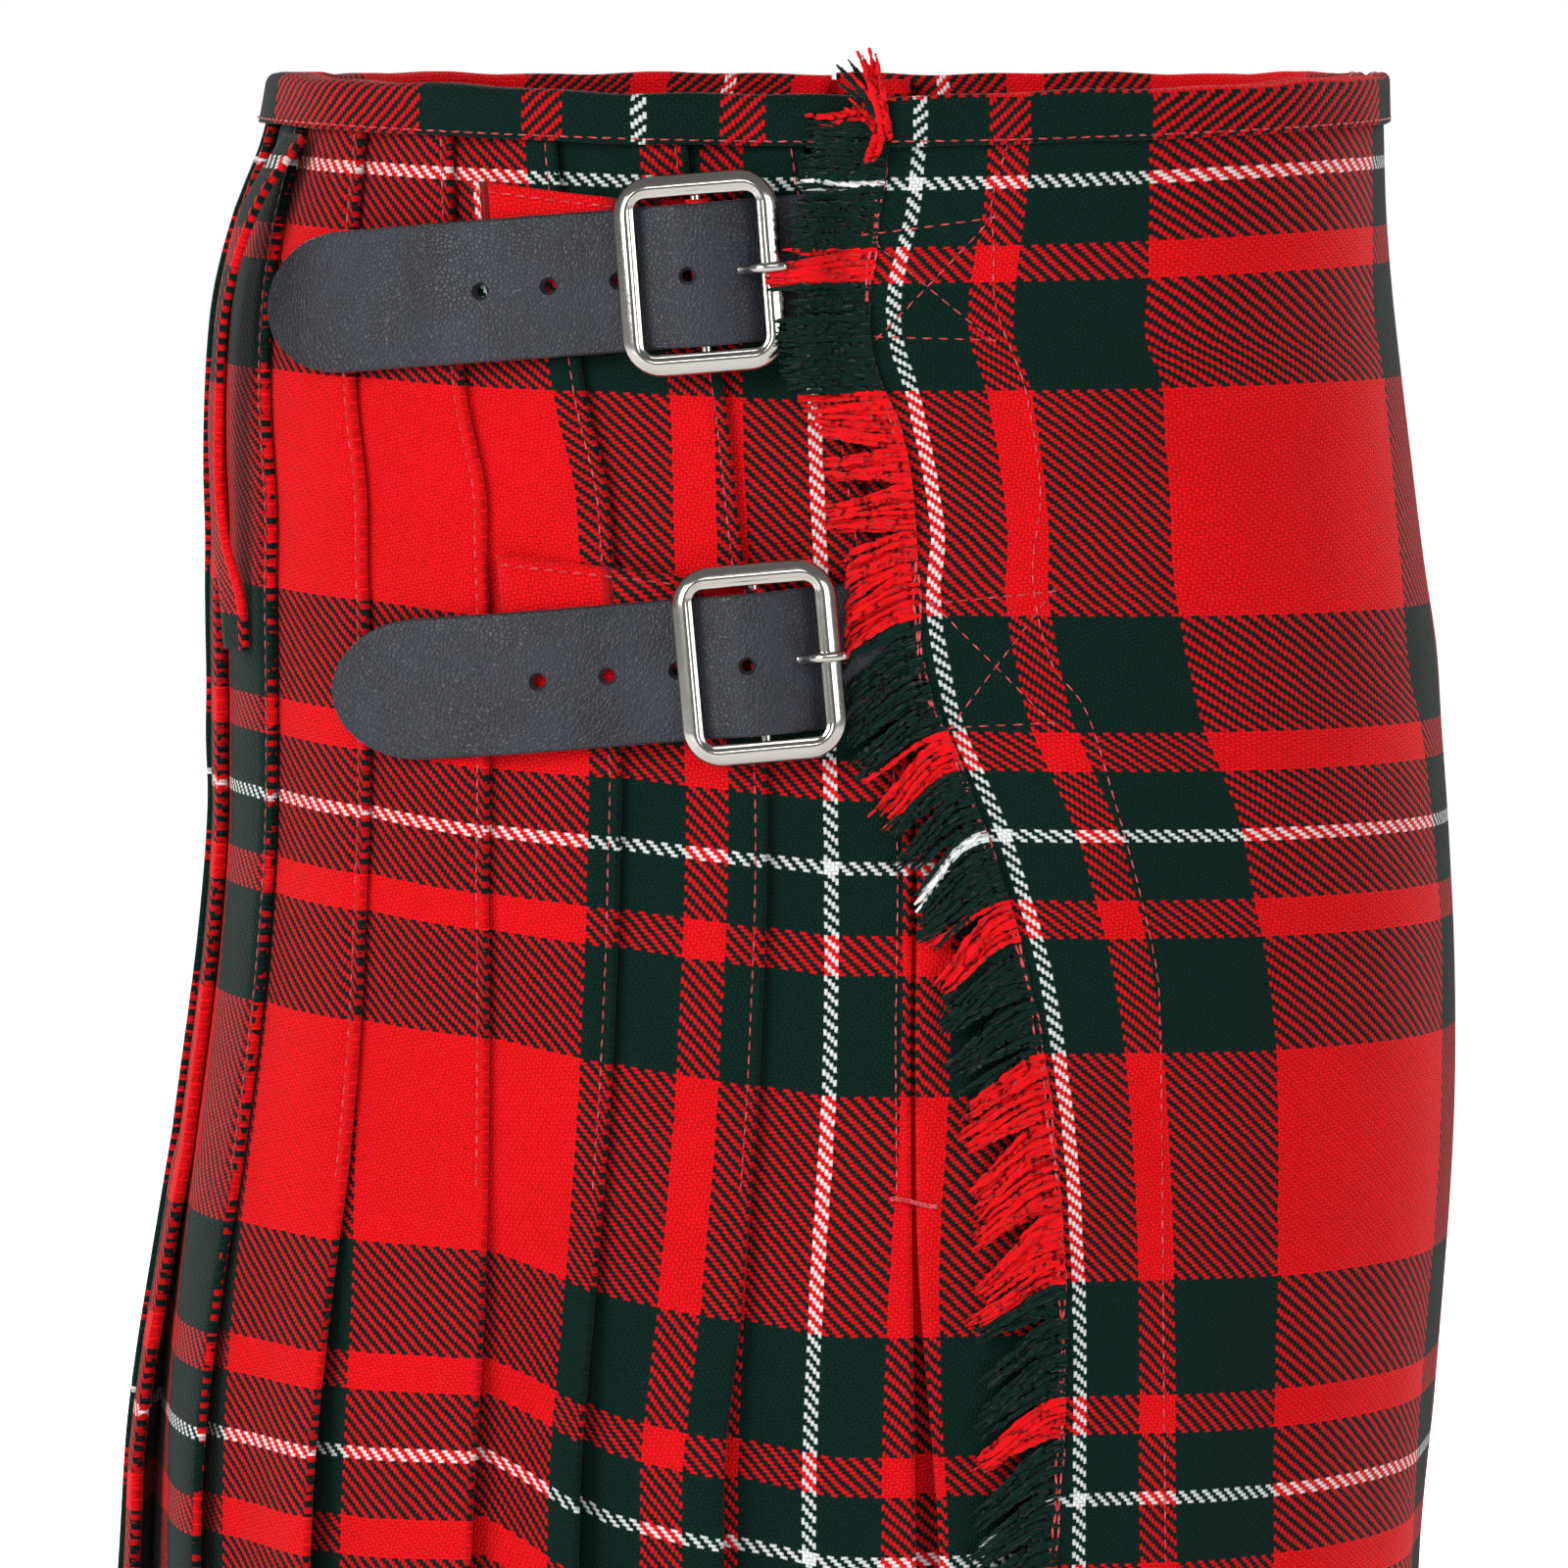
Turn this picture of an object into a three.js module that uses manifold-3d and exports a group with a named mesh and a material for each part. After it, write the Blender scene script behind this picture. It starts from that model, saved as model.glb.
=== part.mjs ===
// A pleated kilt, filled out as if worn, with its straps fastened.
// Millimetres, +Z up. The front faces -Y, the wearer's right hip faces -X.
// The origin is the middle of the waist, level with the upper straps.
import * as THREE from 'three';
import Module from 'manifold-3d';
import { mergeVertices } from 'three/addons/utils/BufferGeometryUtils.js';

const wasm = await Module();
wasm.setup();

// Cloth: one wall is a layer of heavy kilting wool with its nap.
const CLOTH = 1.2;
const GAP = 0.35;
const STEP = CLOTH + GAP;

// Heights of the garment.
const WAIST_TOP = 45;
const CLOTH_TOP = 43.4;
const BAND_BOTTOM = 33.5;
const HEM = -565;
const LEVELS = [CLOTH_TOP, 33, 8, -14, -50, -87, -111, -149, -190, -240, -315, -440, HEM];

// Plan of the garment at each height: half widths from the axis to the
// middle of the outermost layer of pleats. The curve is a superellipse.
const ROUNDNESS = 2.6;
const PLAN = [
  { z: 45, side: 112, front: 126.2, back: 131 },
  { z: 30, side: 112.6, front: 126.6, back: 134 },
  { z: 10, side: 113.5, front: 127.4, back: 141.5 },
  { z: -12, side: 114.5, front: 129.4, back: 146.5 },
  { z: -50, side: 116, front: 134.1, back: 148.4 },
  { z: -87, side: 117.5, front: 138.7, back: 148 },
  { z: -125, side: 118.8, front: 142.5, back: 147.6 },
  { z: -160, side: 120, front: 144.6, back: 150.4 },
  { z: -205, side: 121.5, front: 144.9, back: 156.5 },
  { z: -267, side: 123.5, front: 141.3, back: 164.4 },
  { z: -315, side: 125, front: 137.6, back: 167 },
  { z: -440, side: 130, front: 137.1, back: 174 },
  { z: -565, side: 135, front: 140.6, back: 180 },
];
const PLAN_SAMPLES = 720;

// The top edge sags over the right hip; the sag dies out below.
const SAG = { deep: 5, reach: 190, none: -60, full: 28 };

// Knife pleats, counted from the right hip round the back to the left.
// Each row gives how far behind the side line the first folds lie, and
// how far before the left side line the last fold lies.
const PLEATS = 15;
const HIDDEN_PART = 0.72;
const FOLDS = [
  { z: 45, fold0: 7, fold1: 33, fold2: 62.5, fold3: 88.5, fold4: 114, left: 2 },
  { z: 29, fold0: 5, fold1: 32, fold2: 62, fold3: 88, fold4: 114, left: 4 },
  { z: -25, fold0: -4, fold1: 24, fold2: 55.6, fold3: 84, fold4: 113, left: 10 },
  { z: -53, fold0: -8, fold1: 21, fold2: 50, fold3: 79, fold4: 110, left: 14 },
  { z: -112, fold0: -17.5, fold1: 14.7, fold2: 47.5, fold3: 78.5, fold4: 109.5, left: 20 },
  { z: -178, fold0: -18, fold1: 16, fold2: 49.5, fold3: 78.5, fold4: 112, left: 22 },
  { z: -232, fold0: -18.5, fold1: 20, fold2: 53.4, fold3: 79, fold4: 117, left: 22 },
  { z: -276, fold0: -19, fold1: 24, fold2: 56.5, fold3: 81, fold4: 120, left: 22 },
  { z: -565, fold0: -22, fold1: 20, fold2: 57, fold3: 92, fold4: 128, left: 24 },
];
const TURNED_END = 20;

// Fringed edge of the over apron, measured from the right side line.
const APRON_EDGE = [
  { z: 45, edge: -13 },
  { z: 14, edge: -9 },
  { z: -13, edge: -7.5 },
  { z: -40, edge: -15.5 },
  { z: -73, edge: -18.3 },
  { z: -90, edge: -19.7 },
  { z: -111, edge: -28 },
  { z: -149, edge: -40.5 },
  { z: -190, edge: -48 },
  { z: -240, edge: -51 },
  { z: -315, edge: -48 },
  { z: -565, edge: -48 },
];
const OVER_APRON = 4.2;
const APRON_STATIONS = [
  0.15, 0.2, 0.24, 0.28, 0.32, 0.36, 0.4, 0.46, 0.54, 0.6,
  0.64, 0.68, 0.72, 0.76, 0.8, 0.85,
];
const APRON_CLEAR = 1;

// Fringe along that edge: the space its yarns reach.
const FRINGE = { reach: 19, inner: 3.7, outer: 6 };

// Waistband legs, as distances from the plan curve.
const BAND = { outer: 0.9, inner: -7.5, wall: 1.2, stop: 2 };
const BAND_APRON = { outer: 5.1, inner: 2.5 };
const BAND_UNDER = { outer: 0.6, inner: -2.2, start: 3 };

// Straps, tabs and buckles. u runs to the front, v up, d away from the cloth.
const STRAP = { half: 16, wall: 2, tip: 22, point: 1.5, hole: 2.15, pitch: 15.6 };
const STRAP_TURN = [
  { u: -109, d: 2.3 },
  { u: -70, d: 2.3 },
  { u: -58, d: 3.8 },
  { u: -20, d: 3.6 },
  { u: -14, d: 3.7 },
  { u: -9, d: 5.6 },
  { u: -5, d: 7.5 },
  { u: 0, d: 7.9 },
  { u: 5, d: 7.3 },
  { u: 9, d: 5 },
  { u: 13, d: 2.6 },
  { u: 17, d: 2 },
  { u: 24, d: 2 },
];
const STRAP_HOLES = [0, 1, 2, 3, 4];
const TONGUE_HOLE = 13;
const TAB = { wall: 1.1, low: 1, eye: 2.3, slot: 2.3 };
const FRAME = {
  wide: 37, high: 45, corner: 9, openWide: 27.5, openHigh: 35, openCorner: 2.5,
  low: 5.1, deep: 3, bevel: 0.7, bar: 1.25, barLevel: 3.85,
};
const TONGUE = { radius: 1.2, clear: 0.4, ringOut: 2.75, ringIn: 1.6, ringHalf: 1.5 };
const TONGUE_LINE = [
  { u: 2.2, d: 4.6 },
  { u: 8, d: 6.2 },
  { u: 12.5, d: 9.2 },
  { u: 16, d: 9.8 },
  { u: 19.6, d: 9.4 },
];
const FASTENERS = [
  {
    name: 'upper', side: 1, s: 29, z: 0, tilt: 4.6, front: 62, back: -109,
    tab: [{ u: 0, top: 16.8 }, { u: -17, top: 18.4 }, { u: -51, top: 25 }],
  },
  {
    name: 'lower', side: 1, s: 16, z: -87, tilt: 5.2, front: 64, back: -101,
    tab: [{ u: 0, top: 16.8 }, { u: -19, top: 21.6 }, { u: -57, top: 29 }],
  },
  {
    name: 'left', side: -1, s: 29, z: 0, tilt: 4.6, front: 27, back: -109,
    tab: [{ u: 0, top: 16.8 }, { u: -17, top: 18.4 }, { u: -51, top: 25 }],
  },
];
const TAB_BOTTOM = -14;

// Belt loops on the back. They stand off the pleats, and the edge next to
// the hip leans out further than the other.
const LOOP = { half: 5.5, wall: 1.6, from: 63 };
const LOOP_LINE = [
  { z: 31.4, d: 1.9, lean: 0 },
  { z: 27, d: 3.9, lean: 0.5 },
  { z: 17, d: 6.8, lean: 1.5 },
  { z: 0, d: 7.6, lean: 2 },
  { z: -40, d: 7.4, lean: 2 },
  { z: -62, d: 5.6, lean: 1.2 },
  { z: -76, d: 2.6, lean: 0.2 },
  { z: -88, d: 1.8, lean: 0 },
];

const RAD = Math.PI / 180;
const HALF = 0.5;

const RED_CLOTH = new THREE.MeshStandardMaterial({ color: 0xd01c20, roughness: 0.9, metalness: 0 });
const GREEN_CLOTH = new THREE.MeshStandardMaterial({ color: 0x143628, roughness: 0.9, metalness: 0 });
const FRINGE_WOOL = new THREE.MeshStandardMaterial({ color: 0xc01a20, roughness: 1, metalness: 0 });
const LEATHER = new THREE.MeshStandardMaterial({ color: 0x2d2e34, roughness: 0.55, metalness: 0 });
const NICKEL = new THREE.MeshStandardMaterial({ color: 0xc9c7c2, roughness: 0.2, metalness: 1 });

const garment = new THREE.Group();

function add(name, geometry, material) {
  const mesh = new THREE.Mesh(geometry, material);
  mesh.name = name;
  garment.add(mesh);
  return mesh;
}

// Smooth value of one column of a table, read at the key.
function columnAt(rows, key, at, column) {
  const rising = rows[1][key] > rows[0][key];
  const list = rising ? rows : [...rows].reverse();
  const last = list.length - 1;
  if (at <= list[0][key]) return list[0][column];
  if (at >= list[last][key]) return list[last][column];
  let i = 0;
  while (list[i + 1][key] < at) i += 1;
  const slope = (j) => {
    const a = list[Math.max(0, j - 1)];
    const b = list[Math.min(last, j + 1)];
    return (b[column] - a[column]) / (b[key] - a[key]);
  };
  const span = list[i + 1][key] - list[i][key];
  const t = (at - list[i][key]) / span;
  const t2 = t * t;
  const t3 = t2 * t;
  const start = (2 * t3 - 3 * t2 + 1) * list[i][column];
  const leave = (t3 - 2 * t2 + t) * span * slope(i);
  const end = (3 * t2 - 2 * t3) * list[i + 1][column];
  const arrive = (t3 - t2) * span * slope(i + 1);
  return start + leave + end + arrive;
}

// The plan curve at one height, as points with their distance along it,
// from the right side line round the back, the left and the front.
const plans = new Map();

function planAt(z) {
  if (plans.has(z)) return plans.get(z);
  const side = columnAt(PLAN, 'z', z, 'side');
  const front = columnAt(PLAN, 'z', z, 'front');
  const back = columnAt(PLAN, 'z', z, 'back');
  const points = [];
  let length = 0;
  for (let i = 0; i <= PLAN_SAMPLES; i += 1) {
    const turn = (2 * Math.PI * i) / PLAN_SAMPLES;
    const c = Math.cos(turn);
    const k = Math.sin(turn);
    const x = -side * Math.sign(c) * Math.abs(c) ** (2 / ROUNDNESS);
    const depth = k < 0 ? front : back;
    const y = depth * Math.sign(k) * Math.abs(k) ** (2 / ROUNDNESS);
    if (i > 0) length += Math.hypot(x - points[i - 1].x, y - points[i - 1].y);
    points.push({ x, y, length });
  }
  const left = points[PLAN_SAMPLES / 2].length;
  const plan = { side, front, back, points, length, left };
  plans.set(z, plan);
  return plan;
}

// A point at height z, s along the plan curve and d outside it.
function onForm(z, s, d) {
  const plan = planAt(z);
  const along = ((s % plan.length) + plan.length) % plan.length;
  let low = 0;
  let high = plan.points.length - 1;
  while (high - low > 1) {
    const middle = Math.floor((low + high) / 2);
    if (plan.points[middle].length <= along) low = middle;
    else high = middle;
  }
  const a = plan.points[low];
  const b = plan.points[high];
  const t = (along - a.length) / (b.length - a.length);
  const x = a.x + (b.x - a.x) * t;
  const y = a.y + (b.y - a.y) * t;
  const depth = y < 0 ? plan.front : plan.back;
  const nx = Math.sign(x) * Math.abs(x / plan.side) ** (ROUNDNESS - 1) / plan.side;
  const ny = Math.sign(y) * Math.abs(y / depth) ** (ROUNDNESS - 1) / depth;
  const size = Math.hypot(nx, ny);
  return new THREE.Vector3(x + (d * nx) / size, y + (d * ny) / size, z);
}

// The same point on the cloth, with the sag of the top edge.
function onCloth(z, s, d) {
  const point = onForm(z, s, d);
  const length = planAt(z).length;
  const away = Math.abs(s - length * Math.round(s / length));
  const across = Math.min(away / SAG.reach, 1);
  const part = THREE.MathUtils.smoothstep(z, SAG.none, SAG.full);
  point.z -= SAG.deep * HALF * (1 + Math.cos(Math.PI * across)) * part;
  return point;
}

function foldAt(z, i) {
  if (i <= 4) return columnAt(FOLDS, 'z', z, `fold${i}`);
  const fourth = columnAt(FOLDS, 'z', z, 'fold4');
  const last = planAt(z).left + columnAt(FOLDS, 'z', z, 'left');
  return fourth + ((last - fourth) * (i - 4)) / (PLEATS - 4);
}

function revealAt(z, i) {
  if (i >= PLEATS) return foldAt(z, PLEATS) - foldAt(z, PLEATS - 1);
  return foldAt(z, i + 1) - foldAt(z, i);
}

// The inner fold that lies behind fold i.
function innerFoldAt(z, i) {
  return foldAt(z, i) + HIDDEN_PART * revealAt(z, i);
}

function edgeAt(z) {
  return planAt(z).length + columnAt(APRON_EDGE, 'z', z, 'edge');
}

// A closed solid between two grids of points with the same rows and columns.
function wallBetween(face, back) {
  const rows = face.length;
  const columns = face[0].length;
  const positions = [];
  const index = [];
  for (const grid of [face, back]) {
    for (const row of grid) {
      for (const p of row) positions.push(p.x, p.y, p.z);
    }
  }
  const at = (side, r, c) => (side * rows + r) * columns + c;
  const quad = (a, b, c, d) => index.push(a, b, c, a, c, d);
  for (let r = 0; r + 1 < rows; r += 1) {
    for (let c = 0; c + 1 < columns; c += 1) {
      // Layers that run either way share one diagonal, so they nest without touching.
      if (runsBack(face[r][c], face[r][c + 1])) {
        quad(at(0, r + 1, c), at(0, r + 1, c + 1), at(0, r, c + 1), at(0, r, c));
        quad(at(1, r, c + 1), at(1, r + 1, c + 1), at(1, r + 1, c), at(1, r, c));
      } else {
        quad(at(0, r, c), at(0, r + 1, c), at(0, r + 1, c + 1), at(0, r, c + 1));
        quad(at(1, r, c), at(1, r, c + 1), at(1, r + 1, c + 1), at(1, r + 1, c));
      }
    }
  }
  for (let r = 0; r + 1 < rows; r += 1) {
    quad(at(0, r, 0), at(1, r, 0), at(1, r + 1, 0), at(0, r + 1, 0));
    const e = columns - 1;
    quad(at(0, r, e), at(0, r + 1, e), at(1, r + 1, e), at(1, r, e));
  }
  for (let c = 0; c + 1 < columns; c += 1) {
    quad(at(0, 0, c), at(0, 0, c + 1), at(1, 0, c + 1), at(1, 0, c));
    const e = rows - 1;
    quad(at(0, e, c), at(1, e, c), at(1, e, c + 1), at(0, e, c + 1));
  }
  const geometry = new THREE.BufferGeometry();
  geometry.setAttribute('position', new THREE.Float32BufferAttribute(positions, 3));
  geometry.setIndex(volumeOf(positions, index) < 0 ? index.reverse() : index);
  geometry.computeVertexNormals();
  return geometry;
}

function runsBack(a, b) {
  return a.x * b.y - a.y * b.x > 0;
}

function volumeOf(positions, index) {
  const corner = (i) => new THREE.Vector3().fromArray(positions, 3 * i);
  let sum = 0;
  for (let i = 0; i < index.length; i += 3) {
    const a = corner(index[i]);
    sum += a.dot(corner(index[i + 1]).cross(corner(index[i + 2])));
  }
  return sum;
}

// A wall of cloth whose cross-section at each height is a list of stations,
// each with its face and its back as { s, d }.
function clothWall(levels, stationsAt) {
  const face = [];
  const back = [];
  for (const z of levels) {
    const stations = stationsAt(z);
    face.push(stations.map((p) => onCloth(z, p.face.s, p.face.d)));
    back.push(stations.map((p) => onCloth(z, p.back.s, p.back.d)));
  }
  return wallBetween(face, back);
}

// One station of a flat layer whose right side looks out or, turned under, in.
function station(s, d, out, faceShift = 0, backShift = 0) {
  const half = out ? CLOTH * HALF : -CLOTH * HALF;
  return {
    face: { s: s + faceShift, d: d + half },
    back: { s: s + backShift, d: d - half },
  };
}

// How deep the visible layer of pleat i lies at s: it slants in under pleat i + 1.
function layerDepth(z, i, s) {
  const start = foldAt(z, i);
  const next = foldAt(z, i + 1);
  if (s <= next) return (-2 * STEP * (s - start)) / revealAt(z, i);
  return -2 * STEP - (2 * STEP * (s - next)) / revealAt(z, Math.min(i + 1, PLEATS - 1));
}

// Cloth of pleats first to last, in the order that the cloth runs.
function pleatStations(z, first, last) {
  const line = [];
  if (first === 0) {
    const under = foldAt(z, 0);
    const inner = innerFoldAt(z, 0);
    const deep = -2 * STEP * (1 + HIDDEN_PART);
    line.push(station(under - TURNED_END, -2 * STEP, true));
    line.push(station(under, -2 * STEP, true));
    line.push(station(inner, deep, true, -CLOTH, 0));
  }
  for (let i = first; i <= last; i += 1) {
    const fold = foldAt(z, i);
    const behind = innerFoldAt(z, i);
    const turned = i > first || first === 0;
    const deep = -STEP * (1 + 2 * HIDDEN_PART);
    line.push(station(behind, deep, false, turned ? -CLOTH : 0, 0));
    line.push(station(fold, -STEP, false, 0, CLOTH));
    line.push(station(fold, 0, true, 0, CLOTH));
    line.push(station(behind, layerDepth(z, i, behind), true));
    line.push(station(foldAt(z, i + 1), layerDepth(z, i, foldAt(z, i + 1)), true));
    const end = innerFoldAt(z, i + 1);
    line.push(station(end, layerDepth(z, i, end), true, i < last ? -CLOTH : 0, 0));
  }
  return line;
}

// Places across the front, left to right, and on to the layer's own end.
function apronStationsAt(z, end) {
  const { length, left } = planAt(z);
  const list = APRON_STATIONS.map((part) => length - (length - left) * part).reverse();
  const last = list[list.length - 1];
  for (const part of [1 / 3, 2 / 3, 1]) list.push(last + (end - last) * part);
  return list;
}

// Over apron: its left end is the fold that covers the last pleat.
function overApronStations(z) {
  const fold = foldAt(z, PLEATS);
  const behind = innerFoldAt(z, PLEATS);
  const line = [
    station(behind, OVER_APRON - STEP, false),
    station(fold, OVER_APRON - STEP, false, 0, CLOTH),
    station(fold, OVER_APRON, true, 0, CLOTH),
    station(behind, OVER_APRON, true),
  ];
  for (const s of apronStationsAt(z, edgeAt(z))) line.push(station(s, OVER_APRON, true));
  return line;
}

// Under apron: it starts at the fold beside the first pleat and ends at the left hip.
function underApronStations(z) {
  const length = planAt(z).length;
  const fold = length + foldAt(z, 0) - APRON_CLEAR;
  const line = [station(innerFoldAt(z, PLEATS) + APRON_CLEAR, 0, true)];
  for (const s of apronStationsAt(z, fold - TURNED_END)) line.push(station(s, 0, true));
  line.push(station(fold, 0, true, 0, -CLOTH));
  line.push(station(fold, -STEP, false, 0, -CLOTH));
  line.push(station(fold - TURNED_END, -STEP, false));
  return line;
}

function pleatBreaks(z) {
  const list = [foldAt(z, 0) - TURNED_END, foldAt(z, 0)];
  for (let i = 0; i < PLEATS; i += 1) {
    list.push(innerFoldAt(z, i));
    list.push(i + 1 < PLEATS ? foldAt(z, i + 1) : foldAt(z, PLEATS) - BAND.stop);
  }
  return list;
}

// A binding folded over the top edge: outer leg, top, and an inner leg if asked.
function bandWall(stationsAt, outer, inner, legs) {
  const face = [];
  const back = [];
  const w = BAND.wall;
  const course = [];
  if (legs.outer) course.push({ z: BAND_BOTTOM, a: outer + w, b: outer, zb: BAND_BOTTOM });
  course.push({ z: WAIST_TOP, a: outer + w, b: outer, zb: WAIST_TOP - w });
  course.push({ z: WAIST_TOP, a: inner, b: inner + w, zb: WAIST_TOP - w });
  if (legs.inner) course.push({ z: BAND_BOTTOM, a: inner, b: inner + w, zb: BAND_BOTTOM });
  if (!legs.inner) course[course.length - 1].b = inner;
  if (!legs.outer) course[0].b = outer + w;
  for (const p of course) {
    face.push(stationsAt(p.z).map((s) => onCloth(p.z, s, p.a)));
    back.push(stationsAt(p.zb).map((s) => onCloth(p.zb, s, p.b)));
  }
  return wallBetween(face, back);
}

function addCloth() {
  const sectors = [['pleats_right', 0, 4], ['pleats_back', 5, 9], ['pleats_left', 10, 14]];
  for (const [name, first, last] of sectors) {
    add(name, clothWall(LEVELS, (z) => pleatStations(z, first, last)), RED_CLOTH);
  }
  add('over_apron', clothWall(LEVELS, overApronStations), RED_CLOTH);
  add('under_apron', clothWall(LEVELS, underApronStations), RED_CLOTH);
}

function addWaistband() {
  const pleats = bandWall(pleatBreaks, BAND.outer, BAND.inner, { outer: true, inner: true });
  add('waistband_pleats', pleats, GREEN_CLOTH);
  const over = (z) => {
    const start = [foldAt(z, PLEATS) + GAP, innerFoldAt(z, PLEATS)];
    return [...start, ...apronStationsAt(z, edgeAt(z))];
  };
  const apron = bandWall(over, BAND_APRON.outer, BAND_APRON.inner, { outer: true });
  add('waistband_over_apron', apron, GREEN_CLOTH);
  const under = (z) => {
    const start = innerFoldAt(z, PLEATS) + APRON_CLEAR;
    const end = planAt(z).length + foldAt(z, 0) - TURNED_END - BAND_UNDER.start;
    return [start, ...apronStationsAt(z, end)];
  };
  const inside = bandWall(under, BAND_UNDER.outer - BAND.wall, BAND_UNDER.inner, { inner: true });
  add('waistband_under_apron', inside, GREEN_CLOTH);
}

function fringeReachAt(z) {
  let reach = FRINGE.reach;
  for (const fastener of FASTENERS.filter((f) => f.side === 1)) {
    const room = fastener.s - FRAME.wide * HALF - 1.5 - columnAt(APRON_EDGE, 'z', z, 'edge');
    const near = Math.abs(z - fastener.z) < FRAME.high * HALF + 15;
    if (near) reach = Math.min(reach, room);
  }
  return reach;
}

function addFringe() {
  const face = [];
  const back = [];
  for (const z of LEVELS) {
    const from = edgeAt(z) + 0.3;
    const to = edgeAt(z) + fringeReachAt(z);
    const stations = [from, (from + to) * HALF, to];
    face.push(stations.map((s) => onCloth(z, s, FRINGE.outer)));
    back.push(stations.map((s) => onCloth(z, s, FRINGE.inner)));
  }
  add('fringe', wallBetween(face, back), FRINGE_WOOL);
}

// A point of a fastener's own plane carried onto the form.
function onFastener(fastener, u, v, d) {
  const turn = fastener.tilt * RAD;
  const along = u * Math.cos(turn) - v * Math.sin(turn);
  const z = fastener.z + u * Math.sin(turn) + v * Math.cos(turn);
  const middle = fastener.side === 1 ? fastener.s : planAt(z).left - fastener.s;
  return onForm(z, middle - fastener.side * along, d);
}

// The straight frame of a fastener: the buckle and its tongue keep to it.
function fastenerMatrix(fastener) {
  const origin = onFastener(fastener, 0, 0, 0);
  const front = onFastener(fastener, 1, 0, 0).sub(origin).normalize();
  const rough = onFastener(fastener, 0, 1, 0).sub(origin);
  const out = new THREE.Vector3().crossVectors(front, rough).multiplyScalar(fastener.side);
  out.normalize();
  const up = new THREE.Vector3().crossVectors(out, front).multiplyScalar(fastener.side);
  const first = front.multiplyScalar(fastener.side);
  return new THREE.Matrix4().makeBasis(first, up, out).setPosition(origin);
}

function toManifold(geometry) {
  const plain = geometry.clone();
  plain.deleteAttribute('normal');
  plain.deleteAttribute('uv');
  const merged = mergeVertices(plain, 1e-4);
  const vertProperties = new Float32Array(merged.attributes.position.array);
  const triVerts = new Uint32Array(merged.index.array);
  return new wasm.Manifold(new wasm.Mesh({ numProp: 3, vertProperties, triVerts }));
}

function fromManifold(solid) {
  const mesh = solid.getMesh();
  const geometry = new THREE.BufferGeometry();
  geometry.setAttribute('position', new THREE.BufferAttribute(mesh.vertProperties, 3));
  geometry.setIndex(new THREE.BufferAttribute(mesh.triVerts, 1));
  geometry.computeVertexNormals();
  return geometry;
}

function roundedRectangle(target, wide, high, corner) {
  const x = wide * HALF;
  const y = high * HALF;
  target.moveTo(-x + corner, -y);
  target.lineTo(x - corner, -y);
  target.absarc(x - corner, -y + corner, corner, -Math.PI / 2, 0, false);
  target.lineTo(x, y - corner);
  target.absarc(x - corner, y - corner, corner, 0, Math.PI / 2, false);
  target.lineTo(-x + corner, y);
  target.absarc(-x + corner, y - corner, corner, Math.PI / 2, Math.PI, false);
  target.lineTo(-x, -y + corner);
  target.absarc(-x + corner, -y + corner, corner, Math.PI, 1.5 * Math.PI, false);
  return target;
}

function buckleFrame() {
  const b = FRAME.bevel;
  const outline = new THREE.Shape();
  roundedRectangle(outline, FRAME.wide - 2 * b, FRAME.high - 2 * b, FRAME.corner - b);
  const hole = new THREE.Path();
  roundedRectangle(hole, FRAME.openWide + 2 * b, FRAME.openHigh + 2 * b, FRAME.openCorner + b);
  outline.holes.push(hole);
  const ring = new THREE.ExtrudeGeometry(outline, {
    depth: FRAME.deep - 2 * b, bevelThickness: b, bevelSize: b, bevelSegments: 2, curveSegments: 5,
  });
  ring.translate(0, 0, FRAME.low + b);
  const reach = FRAME.openHigh + 5;
  const bar = new THREE.CylinderGeometry(FRAME.bar, FRAME.bar, reach, 12);
  bar.translate(0, 0, FRAME.barLevel);
  let solid = toManifold(ring).add(toManifold(bar));
  for (const end of [-1, 1]) {
    const post = new THREE.BoxGeometry(2 * FRAME.bar, 2.6, FRAME.low + 1.5 - FRAME.barLevel + 1);
    const level = (FRAME.low + 1.5 + FRAME.barLevel - 1) * HALF;
    post.translate(0, end * (FRAME.openHigh * HALF + 1.3), level);
    solid = solid.add(toManifold(post));
  }
  return fromManifold(solid);
}

// The tongue's rod, thickened by `extra`; `side` mirrors it for the left hip.
function tongueRod(side, extra) {
  const points = TONGUE_LINE.map((p) => new THREE.Vector3(side * p.u, 0, p.d));
  const radius = TONGUE.radius + extra;
  const section = new THREE.Shape().absarc(0, 0, radius, 0, 2 * Math.PI, false);
  const path = new THREE.CatmullRomCurve3(points);
  return new THREE.ExtrudeGeometry(section, { steps: 8, curveSegments: 5, extrudePath: path });
}

function tongue(side) {
  const t = TONGUE;
  const profile = [
    new THREE.Vector2(t.ringIn, -t.ringHalf),
    new THREE.Vector2(t.ringOut, -t.ringHalf),
    new THREE.Vector2(t.ringOut, t.ringHalf),
    new THREE.Vector2(t.ringIn, t.ringHalf),
    new THREE.Vector2(t.ringIn, -t.ringHalf),
  ];
  const ring = new THREE.LatheGeometry(profile, 16);
  ring.translate(0, 0, FRAME.barLevel);
  return fromManifold(toManifold(ring).add(toManifold(tongueRod(side, 0))));
}

function strapHalfWidthAt(fastener, u) {
  const past = fastener.back + STRAP.tip - u;
  if (past <= 0) return STRAP.half;
  const part = Math.min(past / STRAP.tip, 1);
  return Math.max(STRAP.point, STRAP.half * Math.sqrt(1 - part * part));
}

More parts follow.
